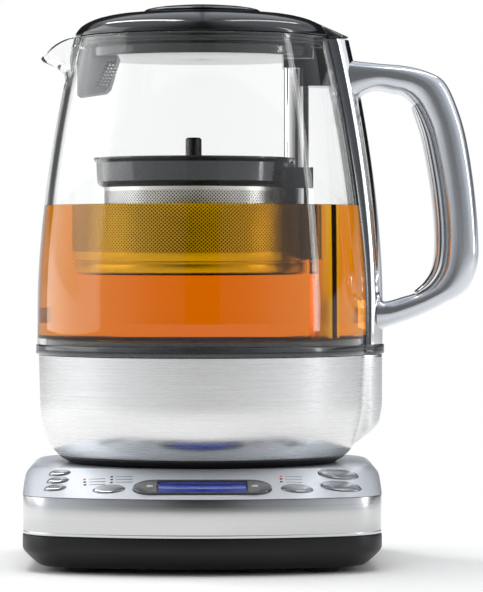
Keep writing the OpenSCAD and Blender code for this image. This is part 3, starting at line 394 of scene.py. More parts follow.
def join(parts):
    """Several (points, faces) parts as one."""
    verts, faces = [], []
    for v, f in parts:
        k = len(verts)
        verts += list(v)
        faces += [tuple(i + k for i in q) for q in f]
    return verts, faces


def moved(part, mat):
    """A (points, faces) part with its points moved by a matrix."""
    v, f = part
    return [tuple(mat @ Vector(p)) for p in v], f


# ------------------------------------------------------------------ power base
def ring_at(z, side=0.0, front=0.0, fine=1):
    """The base's outline at height z, drawn in at its sides and its front."""
    w = BASE_W / 2 - side
    c = max(CORNER - side, 1.0)
    q = max(REAR_CORNER - side, 1.0)
    rear = REAR - side
    bow_y = BOW - FRONT + front
    swing = math.asin((w - c) / (BOW - c))
    cy = bow_y - (BOW - c) * math.cos(swing)
    pts = []

    def arc(x, y, r, a0, a1, n):
        for i in range(n):
            a = a0 + (a1 - a0) * i / n
            pts.append((x + r * math.cos(a), y + r * math.sin(a), z))

    h = math.pi / 2
    arc(0, bow_y, BOW, -h - swing, -h + swing, 40 * fine)
    arc(w - c, cy, c, -h + swing, 0, 14 * fine)
    pts.extend((w, cy + (rear - q - cy) * t / 10, z) for t in range(10))
    arc(w - q, rear - q, q, 0, h, 18 * fine)
    pts.extend(((w - q) * (1 - 2 * t / 10), rear, z) for t in range(10))
    arc(q - w, rear - q, q, h, 2 * h, 18 * fine)
    pts.extend((-w, rear - q + (cy - rear + q) * t / 10, z) for t in range(10))
    arc(c - w, cy, c, 2 * h, 3 * h - swing, 14 * fine)
    return pts


def inside(x, y, side, front):
    """True where the points lie inside the outline with those insets."""
    ax = np.abs(x)
    w = BASE_W / 2 - side
    c, q = CORNER - side, REAR_CORNER - side
    rear = REAR - side
    bow_y = BOW - FRONT + front
    swing = np.arcsin((w - c) / (BOW - c))
    cy = bow_y - (BOW - c) * np.cos(swing)
    ok = (ax <= w + 1e-6) & (y <= rear + 1e-6)
    ok &= np.hypot(x, y - bow_y) <= BOW + 1e-6
    vx, vy = ax - (w - c), y - cy
    wedge = (vx >= 0) & (vy <= 0) & (np.sin(swing) * vy + np.cos(swing) * vx >= 0)
    ok &= ~wedge | (np.hypot(vx, vy) <= c + 1e-6)
    ux, uy = ax - (w - q), y - (rear - q)
    ok &= ~((ux > 0) & (uy > 0)) | (np.hypot(ux, uy) <= q + 1e-6)
    return ok


def ring_params(u):
    """Insets and height of the top cover's rings, u from 0 at its edge to 1."""
    first = DECK_Z - EDGE_Z - SHOULDER
    a = np.clip((u - 0.5) * math.pi, 0, math.pi / 2)
    rise = np.where(u < 0.5, first * u * 2, first + SHOULDER * np.sin(a))
    side = np.where(u < 0.5, 0.0, SHOULDER * (1 - np.cos(a)))
    return side, side * 0 + rise / SLOPE, EDGE_Z + rise


def cover_z(x, y):
    """Height of the top cover over the points."""
    x, y = np.asarray(x, float), np.asarray(y, float)
    lo, hi = np.zeros_like(x), np.ones_like(x)
    for _ in range(26):
        mid = (lo + hi) / 2
        ok = inside(x, y, *ring_params(mid)[:2])
        lo, hi = np.where(ok, mid, lo), np.where(ok, hi, mid)
    return ring_params(lo)[2]


def front_y(x):
    """The bowed front edge of the panel."""
    return BOW - FRONT - math.sqrt(BOW * BOW - x * x)


def on_panel(x, back):
    """Frame on the sloping panel, in millimetres."""
    y = front_y(x) + back
    z = EDGE_Z + SLOPE * back
    roll = math.atan(SLOPE * x / math.sqrt(BOW * BOW - x * x))
    yaw = math.asin(x / BOW) / 2
    return (Matrix.Translation((x, y, z)) @ Matrix.Rotation(TILT, 4, "X")
            @ Matrix.Rotation(roll, 4, "Y") @ Matrix.Rotation(yaw, 4, "Z"))


# place across, place behind the front edge, length, width
BUTTONS = {
    "left_back": (-63.3, 29.1, 9.6, 6.8), "left_middle": (-63.8, 20.1, 9.6, 6.8),
    "left_front": (-64.6, 11.1, 9.6, 6.8), "front_left": (-40.8, 11.2, 13.8, 9.6),
    "minus": (-23.6, 13.4, 7, 7), "plus": (23.6, 13.4, 7, 7),
    "front_right": (41.4, 11.6, 13.8, 9.6), "right_back": (60.2, 27.6, 18.2, 12),
    "right_front": (60.8, 13, 18.2, 12)}
LEDS = ([(-51.9 + 0.2 * i, 22.4 - 3.3 * i) for i in range(3)]
        + [(-39.9, 25.9 - 3.3 * i) for i in range(3)]
        + [(34.6, 26.8 - 3.3 * i) for i in range(3)])
LCD_L, LCD_W, BEZEL_L, BEZEL_W, BEZEL_BACK = 38.5, 14.0, 60.5, 17.0, 14.7
KEY_GAP, BEZEL_GAP = 0.6, 0.2
COUPLER_HOLE, HOLE_WALL = 33.2, 2.2
MESH_STEP = 3.0  # spacing of the points on the flat of the cover


def oval(l, w, n=48):
    return [(l / 2 * math.cos(2 * math.pi * i / n), w / 2 * math.sin(2 * math.pi * i / n))
            for i in range(n)]


def bezel_outline(grow=0.0, n=20):
    s = LCD_L / 2 + 1
    tip, half = BEZEL_L / 2 - s + grow, BEZEL_W / 2 + grow
    right = [(s + tip * math.cos(a), half * math.sin(a))
             for a in (math.pi * (i / n - 0.5) for i in range(n + 1))]
    left = [(-s + tip * math.cos(a), half * math.sin(a))
            for a in (math.pi * (i / n + 0.5) for i in range(n + 1))]
    return right + left


def make_cover():
    """Top cover: one smooth skin, with real holes for the keys, the display and the coupler."""
    outline = [p[:2] for p in ring_at(0)]
    loops = [outline]
    for x, back, l, w in BUTTONS.values():
        if l != w:
            m = on_panel(x, back)
            loops.append([tuple((m @ Vector((a, b, 0)))[:2])
                          for a, b in oval(l + KEY_GAP, w + KEY_GAP)])
    m = on_panel(0, BEZEL_BACK)
    loops.append([tuple((m @ Vector((a, b, 0)))[:2]) for a, b in bezel_outline(BEZEL_GAP)])
    loops.append(oval(COUPLER_HOLE, COUPLER_HOLE, 64))
    holes = loops[1:]
    pts = [p for lp in loops for p in lp]
    edges = []
    k = 0
    for lp in loops:
        n = len(lp)
        edges += [(k + i, k + (i + 1) % n) for i in range(n)]
        k += n

    def hit(x, y, loop):
        c = False
        for (x0, y0), (x1, y1) in zip(loop, loop[1:] + loop[:1]):
            if (y0 > y) != (y1 > y) and x < (x1 - x0) * (y - y0) / (y1 - y0) + x0:
                c = not c
        return c

    boxes = [(min(hx), max(hx), min(hy), max(hy)) for hx, hy in (zip(*h) for h in holes)]

    def in_hole(x, y, pad=0.0):
        for h, (a, b, c, d) in zip(holes, boxes):
            if a - pad < x < b + pad and c - pad < y < d + pad:
                if hit(x, y, h) or min(math.hypot(x - p[0], y - p[1]) for p in h) < pad:
                    return True
        return False

    for u in [0.06, 0.12, 0.18, 0.24, 0.3, 0.36, 0.42, 0.48, 0.53, 0.57, 0.61, 0.65, 0.69, 0.73,
              0.77, 0.81, 0.85, 0.89, 0.93, 0.97, 1.0]:
        s, f = (float(v) for v in ring_params(np.array(u))[:2])
        last = None
        for p in ring_at(0, s, f):
            if last and math.hypot(p[0] - last[0], p[1] - last[1]) < 0.8:
                continue
            last = p
            edge = min(math.hypot(p[0] - q[0], p[1] - q[1]) for q in outline)
            if edge > 0.35 and not in_hole(p[0], p[1], 0.5):
                pts.append(p[:2])
    for ix in range(-26, 27):
        for iy in range(-8, 23):
            x, y = ix * MESH_STEP, iy * MESH_STEP
            if cover_z(x, y) > DECK_Z - 0.001 and not in_hole(x, y, 0.8):
                pts.append((x, y))
    out = delaunay_2d_cdt([Vector(p) for p in pts], edges, [], 0, 1e-5)
    flat = [(v.x, v.y) for v in out[0]]
    x, y = np.array(flat).T
    # slopes are measured a hair inside the edge, so that both sides lie on the cover
    h, pull = 0.05, 0.9985
    gx = (cover_z(x * pull + h, y) - cover_z(x * pull - h, y)) / (2 * h)
    gy = (cover_z(x, y * pull + h) - cover_z(x, y * pull - h)) / (2 * h)
    nrm = np.stack([-gx, -gy, np.ones_like(gx)], 1)
    normals = [tuple(v) for v in nrm / np.linalg.norm(nrm, axis=1)[:, None]]
    verts = [(a, b, float(c)) for (a, b), c in zip(flat, cover_z(x, y))]
    faces = []
    for f in out[2]:
        cx = sum(flat[i][0] for i in f) / len(f)
        cy = sum(flat[i][1] for i in f) / len(f)
        if hit(cx, cy, outline) and not in_hole(cx, cy):
            faces.append(tuple(f))

    def wall(loop, lower, out):
        """An upright wall with points of its own; out is -1 round a hole."""
        n, k = len(loop), len(verts)
        top = [float(v) for v in cover_z(*zip(*loop))]
        for heights in (top, [lower(v) for v in top]):
            for i, (px, py) in enumerate(loop):
                (xa, ya), (xb, yb) = loop[i - 1], loop[(i + 1) % n]
                verts.append((px, py, heights[i]))
                normals.append(tuple(out * Vector((yb - ya, xa - xb, 0)).normalized()))
        for i in range(n):
            quad = (k + i, k + n + i, k + n + (i + 1) % n, k + (i + 1) % n)
            faces.append(quad if out > 0 else quad[:1] + quad[:0:-1])

    wall(outline, lambda top: EDGE_Z, 1)
    for hole in holes:
        wall(hole, lambda top: top - HOLE_WALL, -1)
    return put("base_top_cover", verts, faces, "power_base", "silver", "silver_paint",
               ["base_top"], normals=normals)


def make_base():
    make_cover()
    # brushed band, with a small lip at its foot
    rings = [ring_at(z, s, s, 2) for z, s in [
        (BAND_Z, 1.8), (BAND_Z, 0.55), (16.65, 0.3), (17.6, 0.25), (17.9, 0.45), (18.2, 0.3),
        (32.9, 0.25), (33.2, 0.35), (BAND_TOP, 0.6), (BAND_TOP, 1.8)]]
    put("base_brushed_band", *loft(rings, closed=True), "power_base", "band", "brushed_band",
        ["base_band"], smooth=30)
    # tray
    rings = [ring_at(z, s, s, 2) for z, s in [
        (TRAY_Z, 9.6), (TRAY_Z, 8.4), (2.8, 7.6), (3.5, 6.6), (6.0, 3.6), (8.6, 1.0), (9.6, 0.35),
        (10.6, 0.05), (12.0, 0.0), (15.6, 0.0), (16.1, 0.15), (TRAY_TOP, 0.6), (TRAY_TOP, 2.0)]]
    put("base_tray_shell", *loft(rings), "power_base", "black", "black_shell", ["base_tray"])
    # feet, each with a groove in its sole
    foot_x, foot_top = BASE_W / 2 - 27, 2.45
    for name, x, y, r in [("centre", 0, 0, 11), ("0", -foot_x, -68, 8), ("1", foot_x, -68, 8),
                          ("2", -foot_x, 48, 8), ("3", foot_x, 48, 8)]:
        prof = [(0, 0), (r * 0.38, 0), (r * 0.4, 0.35), (r * 0.6, 0.35), (r * 0.62, 0.0),
                (r - 1.2, 0), (r - 0.4, 0.2), (r, 0.8), (r, foot_top), (0, foot_top)]
        put(f"foot_{name}", *spin(prof, 48, x, y), "power_base", "rubber", "rubber_feet",
            ["rubber_feet"])
    # display surround, with a raised rim round the window
    m = on_panel(0, BEZEL_BACK)
    outer = bezel_outline()
    win = [(max(-LCD_L / 2, min(LCD_L / 2, x * 0.9)), max(-LCD_W / 2, min(LCD_W / 2, y * 1.05)))
           for x, y in outer]
    rings = []
    for t, z in [(0, -2.2), (0, 0.1), (0.02, 0.28), (0.06, 0.36), (0.45, 0.4), (0.9, 0.42),
                 (0.97, 0.3), (1.0, 0.0), (1.0, -1.0)]:
        rings.append([(o[0] + (i[0] - o[0]) * t, o[1] + (i[1] - o[1]) * t, z)
                      for o, i in zip(outer, win)])
    put("display_surround", *moved(loft(rings, (False, False)), m), "power_base", "dark",
        "dark_gloss", ["display_bezel"], smooth=50)
    a, b = LCD_L / 2 - 0.1, LCD_W / 2 - 0.1
    lens = [[(x * s, y * s, z) for x, y in ((-a, -b), (a, -b), (a, b), (-a, b))]
            for s, z in ((1.0, -1.1), (1.0, -0.2), (0.985, -0.12))]
    put("display_window", *moved(loft(lens), m), "power_base", "display", "blue_display",
        ["display_lens"])
    for name, (x, back, l, w) in BUTTONS.items():
        make_button(name, x, back, l, w)
    tick_from, tick_to, tick_half = 1.9, 9.3, 0.13
    for i, (x, back) in enumerate(LEDS):
        prof = [(0, -0.6), (0.68, -0.6), (0.68, 0.1), (0.5, 0.25), (0.25, 0.33), (0, 0.35)]
        put(f"lamp_{i}", *moved(spin(prof, 20), on_panel(x, back)), "power_base",
            "lamp" if i in (0, 6) else "lamp_off", "red_lamp", ["indicator_leds"])
        # a plain printed line beside each lamp
        bar = [[(tick_from, -tick_half, h), (tick_to, -tick_half, h), (tick_to, tick_half, h),
                (tick_from, tick_half, h)] for h in (-0.05, 0.05)]
        put(f"tick_{i}", *moved(loft(bar), on_panel(x, back)), "power_base", "tick", "dark_gloss")


def make_button(name, x, back, l, w):
    """A crowned key with a soft edge."""
    rings = []
    profile = [(1.0, -4.2), (1.0, 0.05), (0.985, 0.22), (0.95, 0.4), (0.88, 0.58), (0.76, 0.75),
               (0.6, 0.87), (0.42, 0.95), (0.2, 0.99), (0.04, 1.0)]
    for s, z in profile:
        inset = (1 - s) * w / 2
        rings.append([(p[0] * (1 - inset * 2 / l), p[1] * (1 - inset * 2 / w), z)
                      for p in oval(l, w)])
    put("key_" + name, *moved(loft(rings), on_panel(x, back)), "key_" + name,
        "chrome" if l == w else "button",
        "button_grey", ["button_" + name], smooth=60)


# ------------------------------------------------------------------------ jug
def pot_r(z):
    """Radius of the pot: nearly upright, and drawn in below mid."""
    mid = POT_Z + 25
    if z > mid:
        return JUG_R - 0.6 - 0.6 * (RING_Z - z) / (RING_Z - mid)
    return JUG_R - 1.2 - 13.5 * (1 - math.sqrt(1 - ((mid - z) / 27.0) ** 2))


# the pot's nose under the handle: reach, radius, and (height, change of its reach)
NOSE, NOSE_R = 82.7, 18.0
BULGE = [(53.0, -20), (54.0, -11), (56.4, -7.9), (58.7, -5.1), (61, -2.8), (63, -1.4), (68, -0.5),
         (70, 0), (95, 0)]


def circle_r(a, c, r):
    """Distance from the axis to a circle of radius r centred c along +X."""
    a = (a + math.pi) % (2 * math.pi) - math.pi
    s = math.sin(a) * c
    if abs(a) > 1 or abs(s) >= r:
        return 0.0
    return c * math.cos(a) + math.sqrt(r * r - s * s)


def soft_max(a, b, k):
    """The larger of two values, eased over the width k where they meet."""
    h = max(k - abs(a - b), 0) / k
    return max(a, b) + h * h * k / 4


def nose_r(z):
    for (z0, d0), (z1, d1) in zip(BULGE, BULGE[1:]):
        if z <= z1:
            return NOSE + d0 + (d1 - d0) * max(0.0, (z - z0) / (z1 - z0))
    return NOSE


def angles():
    """Angles round the jug, close together near the handle."""
    fine, coarse, half = 0.5, 3.0, 24
    a = [x * fine for x in range(int(-half / fine), int(half / fine) + 1)]
    b = half + coarse
    while b < 360 - half - 0.01:
        a.append(b)
        b += coarse
    return [math.radians(x) for x in a]


def wrap(levels, radius, around):
    """Rings round the jug axis: levels of (tag, z), radius(angle, tag, z)."""
    return [[(radius(a, t, z) * math.cos(a), radius(a, t, z) * math.sin(a), z) for a in around]
            for t, z in levels]


def make_pot():
    around = angles()

    def radius(a, inset, z):
        zz = min(z, RING_Z)
        b = min(circle_r(a, NOSE - NOSE_R, NOSE_R), nose_r(zz))
        return soft_max(pot_r(zz), b, 2.2) - inset

    zs = [POT_Z, 48.3, 49, 50, 51, 52, 53, 54, 55, 56, 57, 58, 59, 60, 61, 62, 63, 64, 66, 68, 70,
          73, 77, 82, 87, 92, 93.4]
    levels = ([(6.0, POT_Z), (0.5, POT_Z)] + [(0.0, z + 0.2) for z in zs]
              + [(0.35, 93.9), (5.0, 93.9)])
    put("steel_pot_body", *loft(wrap(levels, radius, around), (False, False)), "jug", "pot",
        "brushed_pot", ["steel_pot"], smooth=50)

    # ring between the pot and the glass
    def ring(a, inset, z):
        r = NOSE_R + 0.8
        return max(JUG_R + 0.7, circle_r(a, NOSE + 1.0 - r, r)) - inset

    levels = [(6.0, 94.05), (0.5, 94.05), (0.1, 94.3), (0.0, 94.7), (0.0, 95.7), (0.25, 95.9),
              (0.25, 96.1), (0.0, 96.3), (0.0, 97.9), (0.12, 98.25), (0.5, 98.45), (0.66, 98.5)]
    seat = JUG_R * 1.0007  # against the glass
    top = [[(seat * math.cos(a), seat * math.sin(a), z) for a in around]
           for z in (RING_TOP, 95.6)]
    put("jug_ring_trim", *loft(wrap(levels, ring, around) + top, (False, False)), "jug", "dark",
        "dark_gloss", ["jug_ring"], smooth=45)
    # sole
    prof = [(20, 46.2), (20, SOLE_Z), (60.5, SOLE_Z), (61.6, 44.9), (62.6, 45.6), (64.6, 46.6),
            (65.6, 47.4), (65.6, 50), (63.5, 50)]
    put("jug_sole_cover", *spin(prof, 160, closed=True), "jug", "black", "black_shell",
        ["jug_sole"])


SPOUT_HALF = math.radians(17.5)  # the spout's half width, round the jug
SPOUT_LOW = 217.0
SPOUT = [(63.35, SPOUT_LOW), (62.9, 219.5), (63.6, 222.2), (66.4, 224.9), (70.0, 226.6),
         (73.0, 227.8), (74.3, 229.3)]


def spout_point(t):
    """Point on the middle line of the spout's skin, t from its root to the tip."""
    lens = [0.0]
    for p, q in zip(SPOUT, SPOUT[1:]):
        lens.append(lens[-1] + math.hypot(q[0] - p[0], q[1] - p[1]))
    s = t * lens[-1]
    for i in range(len(SPOUT) - 1):
        if s <= lens[i + 1] + 1e-9:
            k = (s - lens[i]) / (lens[i + 1] - lens[i])
            return (SPOUT[i][0] + (SPOUT[i + 1][0] - SPOUT[i][0]) * k,
                    SPOUT[i][1] + (SPOUT[i + 1][1] - SPOUT[i][1]) * k)
    return SPOUT[-1]


def make_glass():
    around = [math.radians(a) for a in np.concatenate([
        np.arange(0, 160, 2.5), np.arange(160, 200.01, 0.5), np.arange(202.5, 360, 2.5)])]
    zs = ([GLASS_Z, GLASS_Z + 0.4, 98, 100] + list(np.arange(103, SPOUT_LOW, 3.0))
          + list(np.arange(SPOUT_LOW, 237.6, 0.8)) + [237.9, 238.3])

    def point(a, z, inset):
        off = abs(a - math.pi)
        r = glass_r(z) - inset
        if off < SPOUT_HALF and z > SPOUT_LOW:
            w = (0.5 + 0.5 * math.cos(math.pi * off / SPOUT_HALF)) ** 0.85
            sx, sz = spout_point((z - SPOUT_LOW) / (RIM_Z - SPOUT_LOW))
            sx -= inset * 0.9
            sz += inset * 0.55 * min(1, (z - SPOUT_LOW) / 8)
            fall = w ** (1 + 1.1 * (z - SPOUT_LOW) / (RIM_Z - SPOUT_LOW))
            r, z = r + (sx - r) * w, z + (sz - z) * fall
        return (r * math.cos(a), r * math.sin(a), z)

    rings = [[point(a, z, 0.0 if z > GLASS_Z + 0.1 else 0.4) for a in around] for z in zs]
    rings += [[point(a, RIM_Z, inset) for a in around]
              for inset in (0.5, GLASS_T * 0.5, GLASS_T - 0.5)]
    rings += [[point(a, z, GLASS_T - 0.02) for a in around] for z in reversed(zs)]
    put("glass_body", *loft(rings, closed=True), "jug", "glass", "clear_glass", ["glass_jug"],
        smooth=60)


def make_tea():
    # the bottom lies just inside the heating plate, so that the tea wets it
    prof = [(0, GLASS_Z - 0.1), (69.6, GLASS_Z - 0.1), (70.0, GLASS_Z + 0.2), (70.0, 100.95)]
    wall = [(glass_r(z) - GLASS_T + 0.25, z) for z in
            [101.3] + list(np.arange(103, TEA_Z - 1, 3.0)) + [TEA_Z + 0.35]]
    prof += wall
    r = wall[-1][0]
    prof += [(r - 0.9, TEA_Z + 0.1), (r - 2.2, TEA_Z), (0, TEA_Z)]
    put("tea_fill", *spin(prof, 180), "jug", "tea", "clear_glass", smooth=50)
    # inner lip of the seal, which stands in the tea as a dark band
    r0, r1, z0, z1 = 69.9, 72.68, GLASS_Z + 0.3, 100.8
    lip = rounded([(r0, z0), (r1, z0), (r1, z1), (r0, z1)], 0.6, 3)
    put("gasket_inner_lip", *spin(lip, 180, closed=True), "jug", "seal", "grey_seal", smooth=40)


def spine_ring(z, kind):
    """Outline of the polished cover, or of the backing that flares out to the glass."""
    sx, r, flare = spine_x(z), SPINE_R, 2.2
    half = math.acos((SPINE_R - SPINE_DEEP) / SPINE_R)
    if kind == "cover":
        pts = [(sx - r + r * math.cos(a), r * math.sin(a)) for a in np.linspace(-half, half, 25)]
        back = sx - SPINE_DEEP
        pts += [(back, y) for y in np.linspace(pts[-1][1] - 0.6, pts[0][1] + 0.6, 6)]
        return [(x, y, z) for x, y in pts]
    w = r * math.sin(half)
    foot = w + flare
    gr = glass_r(z) + 0.12
    pts = [(math.sqrt(gr * gr - y * y), y) for y in np.linspace(foot, -foot, 15)]
    x1 = sx - SPINE_DEEP - 0.06
    pts += [(pts[-1][0] + (x1 - pts[-1][0]) * t, -foot + flare * t ** 0.7) for t in (0.4, 0.8, 1.0)]
    pts += [(x1, y) for y in (-w * 0.5, 0, w * 0.5)]
    pts += [(x1 + (math.sqrt(gr * gr - foot * foot) - x1) * t, foot - flare * (1 - t) ** 0.7)
            for t in (0.0, 0.2, 0.6)]
    return [(x, y, z) for x, y in pts]


def make_spine():
    zs = [RING_TOP + 0.02] + list(np.arange(101, 237, 3.0)) + [237.3, 237.9]
    rings = [spine_ring(z, "cover") for z in zs]
    s = 0.985  # its two ends are drawn in a little
    for k in (0, -1):
        c = [sum(p[i] for p in rings[k]) / len(rings[k]) for i in range(2)]
        rings[k] = [(c[0] + (p[0] - c[0]) * s, c[1] + (p[1] - c[1]) * s, p[2]) for p in rings[k]]
    put("spine_polished_cover", *loft(rings), "jug", "chrome", "polished_steel",
        ["spine_cover"], smooth=40)
    put("spine_dark_backing", *loft([spine_ring(z, "back") for z in zs]), "jug", "slate",
        "slate_gloss", ["spine_backing"], smooth=40)


GRIP_X0, GRIP_Z, REACH, GRIP_H, GRIP_W = JUG_R + 7.2, RING_TOP + 6, 44.0, 124.0, 20.0
TOP_X = (spine_x(GRIP_Z + GRIP_H) - GRIP_X0) / REACH
GRIP_OUTER = [(TOP_X - 0.05, 1.002), (-0.05, 0.99), (0.25, 0.98), (0.49, 0.957), (0.65, 0.92),
              (0.775, 0.83), (0.875, 0.71), (0.957, 0.53), (1, 0.353), (0.988, 0.242),
              (0.87, 0.15), (0.65, 0.102), (0.41, 0.059), (0.15, 0.025), (-0.07, 0)]
GRIP_INNER = [(TOP_X - 0.05, 0.845), (-0.1, 0.889), (0.09, 0.881), (0.22, 0.87), (0.325, 0.835),
              (0.425, 0.77), (0.5, 0.69), (0.588, 0.52), (0.628, 0.353), (0.6, 0.24),
              (0.495, 0.175), (0.355, 0.142), (0.22, 0.126), (0.03, 0.108), (-0.07, 0.122)]


def grip_points(table, steps):
    return [(GRIP_X0 + x * REACH, GRIP_Z + z * GRIP_H) for x, z in curve(table, steps)]


def bend(v, e=0.75):
    """Squares off a cosine or a sine, for a section between an oval and a box."""
    return math.copysign(abs(v) ** e, v)


def make_handle():
    steps, n = 6, 40
    outer, inner = grip_points(GRIP_OUTER, steps), grip_points(GRIP_INNER, steps)
    rings = []
    for o, p in zip(outer, inner):
        o, p = Vector(o), Vector(p)
        mid, half = (o + p) / 2, (o - p) / 2
        ring = []
        for k in range(n):
            a = 2 * math.pi * k / n
            q = mid + half * bend(math.cos(a))
            y = GRIP_W / 2 * bend(math.sin(a))
            # the arms end on the face of the spine
            face = spine_x(min(q[1], 237)) - SPINE_R + math.sqrt(SPINE_R ** 2 - y * y) + 0.03
            ring.append((max(q[0], face), y, q[1]))
        rings.append(ring)
    put("handle_body", *loft(rings), "jug", "handle", "handle_silver", ["handle_grip"], smooth=50)
    # liner along the inside of the grip
    first, last = 4 * steps, 11 * steps
    rings = []
    for i in range(first, last + 1):
        o, p = Vector(outer[i]), Vector(inner[i])
        d = (p - o).normalized()
        s = (i - first + 0.4) / (last - first + 0.8)
        t = 3.7 * math.sin(math.pi * s) ** 0.35
        h = (t + 1.2) / 2
        mid = p + d * (t - h)
        rings.append([(mid[0] + d[0] * h * bend(math.cos(a), 0.6), 8.0 * bend(math.sin(a), 0.7),
                       mid[1] + d[1] * h * bend(math.cos(a), 0.6))
                      for a in (2 * math.pi * k / 28 for k in range(28))])
    put("handle_inner_strip", *loft(rings), "jug", "chrome", "polished_steel",
        ["handle_liner"], smooth=45)


# ------------------------------------------------------------------------ lid
def make_lid():
    around = [math.radians(a) for a in np.concatenate([
        np.arange(-14, 14.01, 0.5), np.arange(16.5, 344, 2.5)])]

    def radius(a, r):
        """The round lid, drawn out into a tongue over the spine."""
        if r <= LID_CROWN_R:
            return r
        out = max(LID_R, circle_r(a, 58.1, 9.0)) - LID_R
        return r + out * ((r - LID_CROWN_R) / (LID_R - LID_CROWN_R)) ** 1.5

    levels = [(55.7, LID_Z + 0.02), (57.9, LID_Z + 0.02), (58.25, LID_Z + 0.3), (LID_R, 239.6),
              (58.2, 240.4), (57.9, 241.0), (57.4, 241.7), (56.8, 242.5), (56.1, 243.3),
              (55.2, 244.1), (54.0, 244.9), (52.3, 245.8), (50.0, 246.8), (47.6, 247.6),
              (44, 248.5), (40.6, 249.1), (34, 249.8), (29, 250.15), (27, 250.25), (26.7, 250.1)]
    rings = []
    for r, z in levels:
        ring = []
        for a in around:
            rr, zz = radius(a, r), z
            if z > LID_Z + 1 and rr > r:
                # the tongue is thinner the further it reaches
                zz = LID_Z + 0.3 + (z - LID_Z - 0.3) * max(0.3, 1 - (rr - r) * 0.068)
            ring.append((rr * math.cos(a), rr * math.sin(a), zz))
        rings.append(ring)
    put("lid_dome", *loft(rings, (False, True)), "lid", "lid", "lid_gloss", ["lid_cover"],
        smooth=40)
    prof = [(0, LID_TOP + 0.05), (26.0, LID_TOP + 0.05), (26.55, 250.6), (26.7, 251.0),
            (26.5, 251.4), (25.6, 251.9), (23.8, 252.35), (20, 252.95), (13, 253.6),
            (6, 253.9), (0, 253.95)]
    put("lid_knob_disc", *spin(prof, 144), "lid", "lid", "lid_gloss", ["lid_knob"], smooth=35)
    prof = rounded([(0.01, 229.2), (50.9, 229.2), (50.9, 233.6), (55.2, 234.3), (55.2, 242.4),
                    (52.6, 242.4), (52.6, 236), (49.1, 234.8), (49.1, 231), (0.01, 231)], 0.7, 4)
    put("lid_skirt_ring", *spin(prof, 160, closed=True), "lid", "slate", "slate_gloss",
        ["lid_skirt"], smooth=40)
    prof = rounded([(54.35, 234.55), (55.6, 234.55), (55.6, 235.2), (55.0, 235.5), (55.6, 235.9),
                    (55.6, 236.8), (54.35, 236.8)], 0.2, 2)
    put("lid_seal_ring", *spin(prof, 144, closed=True), "lid", "seal", "grey_seal", ["lid_seal"])


# --------------------------------------------------------------------- basket
def perforated(r, t, z0, rows, p, hole, a0, a1, cols):
    """Sheet of thickness t rolled to radius r, its holes staggered at 45 degrees."""
    verts, faces = [], []
    index = {}

    def vid(u, v, layer):
        key = (round(u * 1000), round(v * 1000), layer)
        if key not in index:
            a = a0 + (a1 - a0) * u / (cols * p)
            rr = r - layer * t
            index[key] = len(verts)
            verts.append((BASKET_X + rr * math.cos(a), rr * math.sin(a), z0 + v))
        return index[key]

    d = hole * math.sqrt(0.5)
    for j in range(rows):
        for i in range(cols):
            x, y = i * p, j * p

            def rot(pt, k):
                u, v = pt[0] - p / 2, pt[1] - p / 2
                for _ in range(k):
                    u, v = -v, u
                return (x + u + p / 2, y + v + p / 2)

            shape = [(hole, 0), (p - hole, 0), (p - d, d), (p / 2 + d, p / 2 - d),
                     (p / 2, p / 2 - hole), (p / 2 - d, p / 2 - d), (d, d)]
            for k in range(4):
                loop = [rot(q, k) for q in shape]
                faces.append(tuple(vid(u, v, 0) for u, v in loop))
                faces.append(tuple(vid(u, v, 1) for u, v in reversed(loop)))
                for q0, q1 in ((1, 2), (3, 4), (4, 5), (6, 0)):
                    a, b = loop[q0], loop[q1]
                    faces.append((vid(*b, 0), vid(*a, 0), vid(*a, 1), vid(*b, 1)))
    return verts, faces


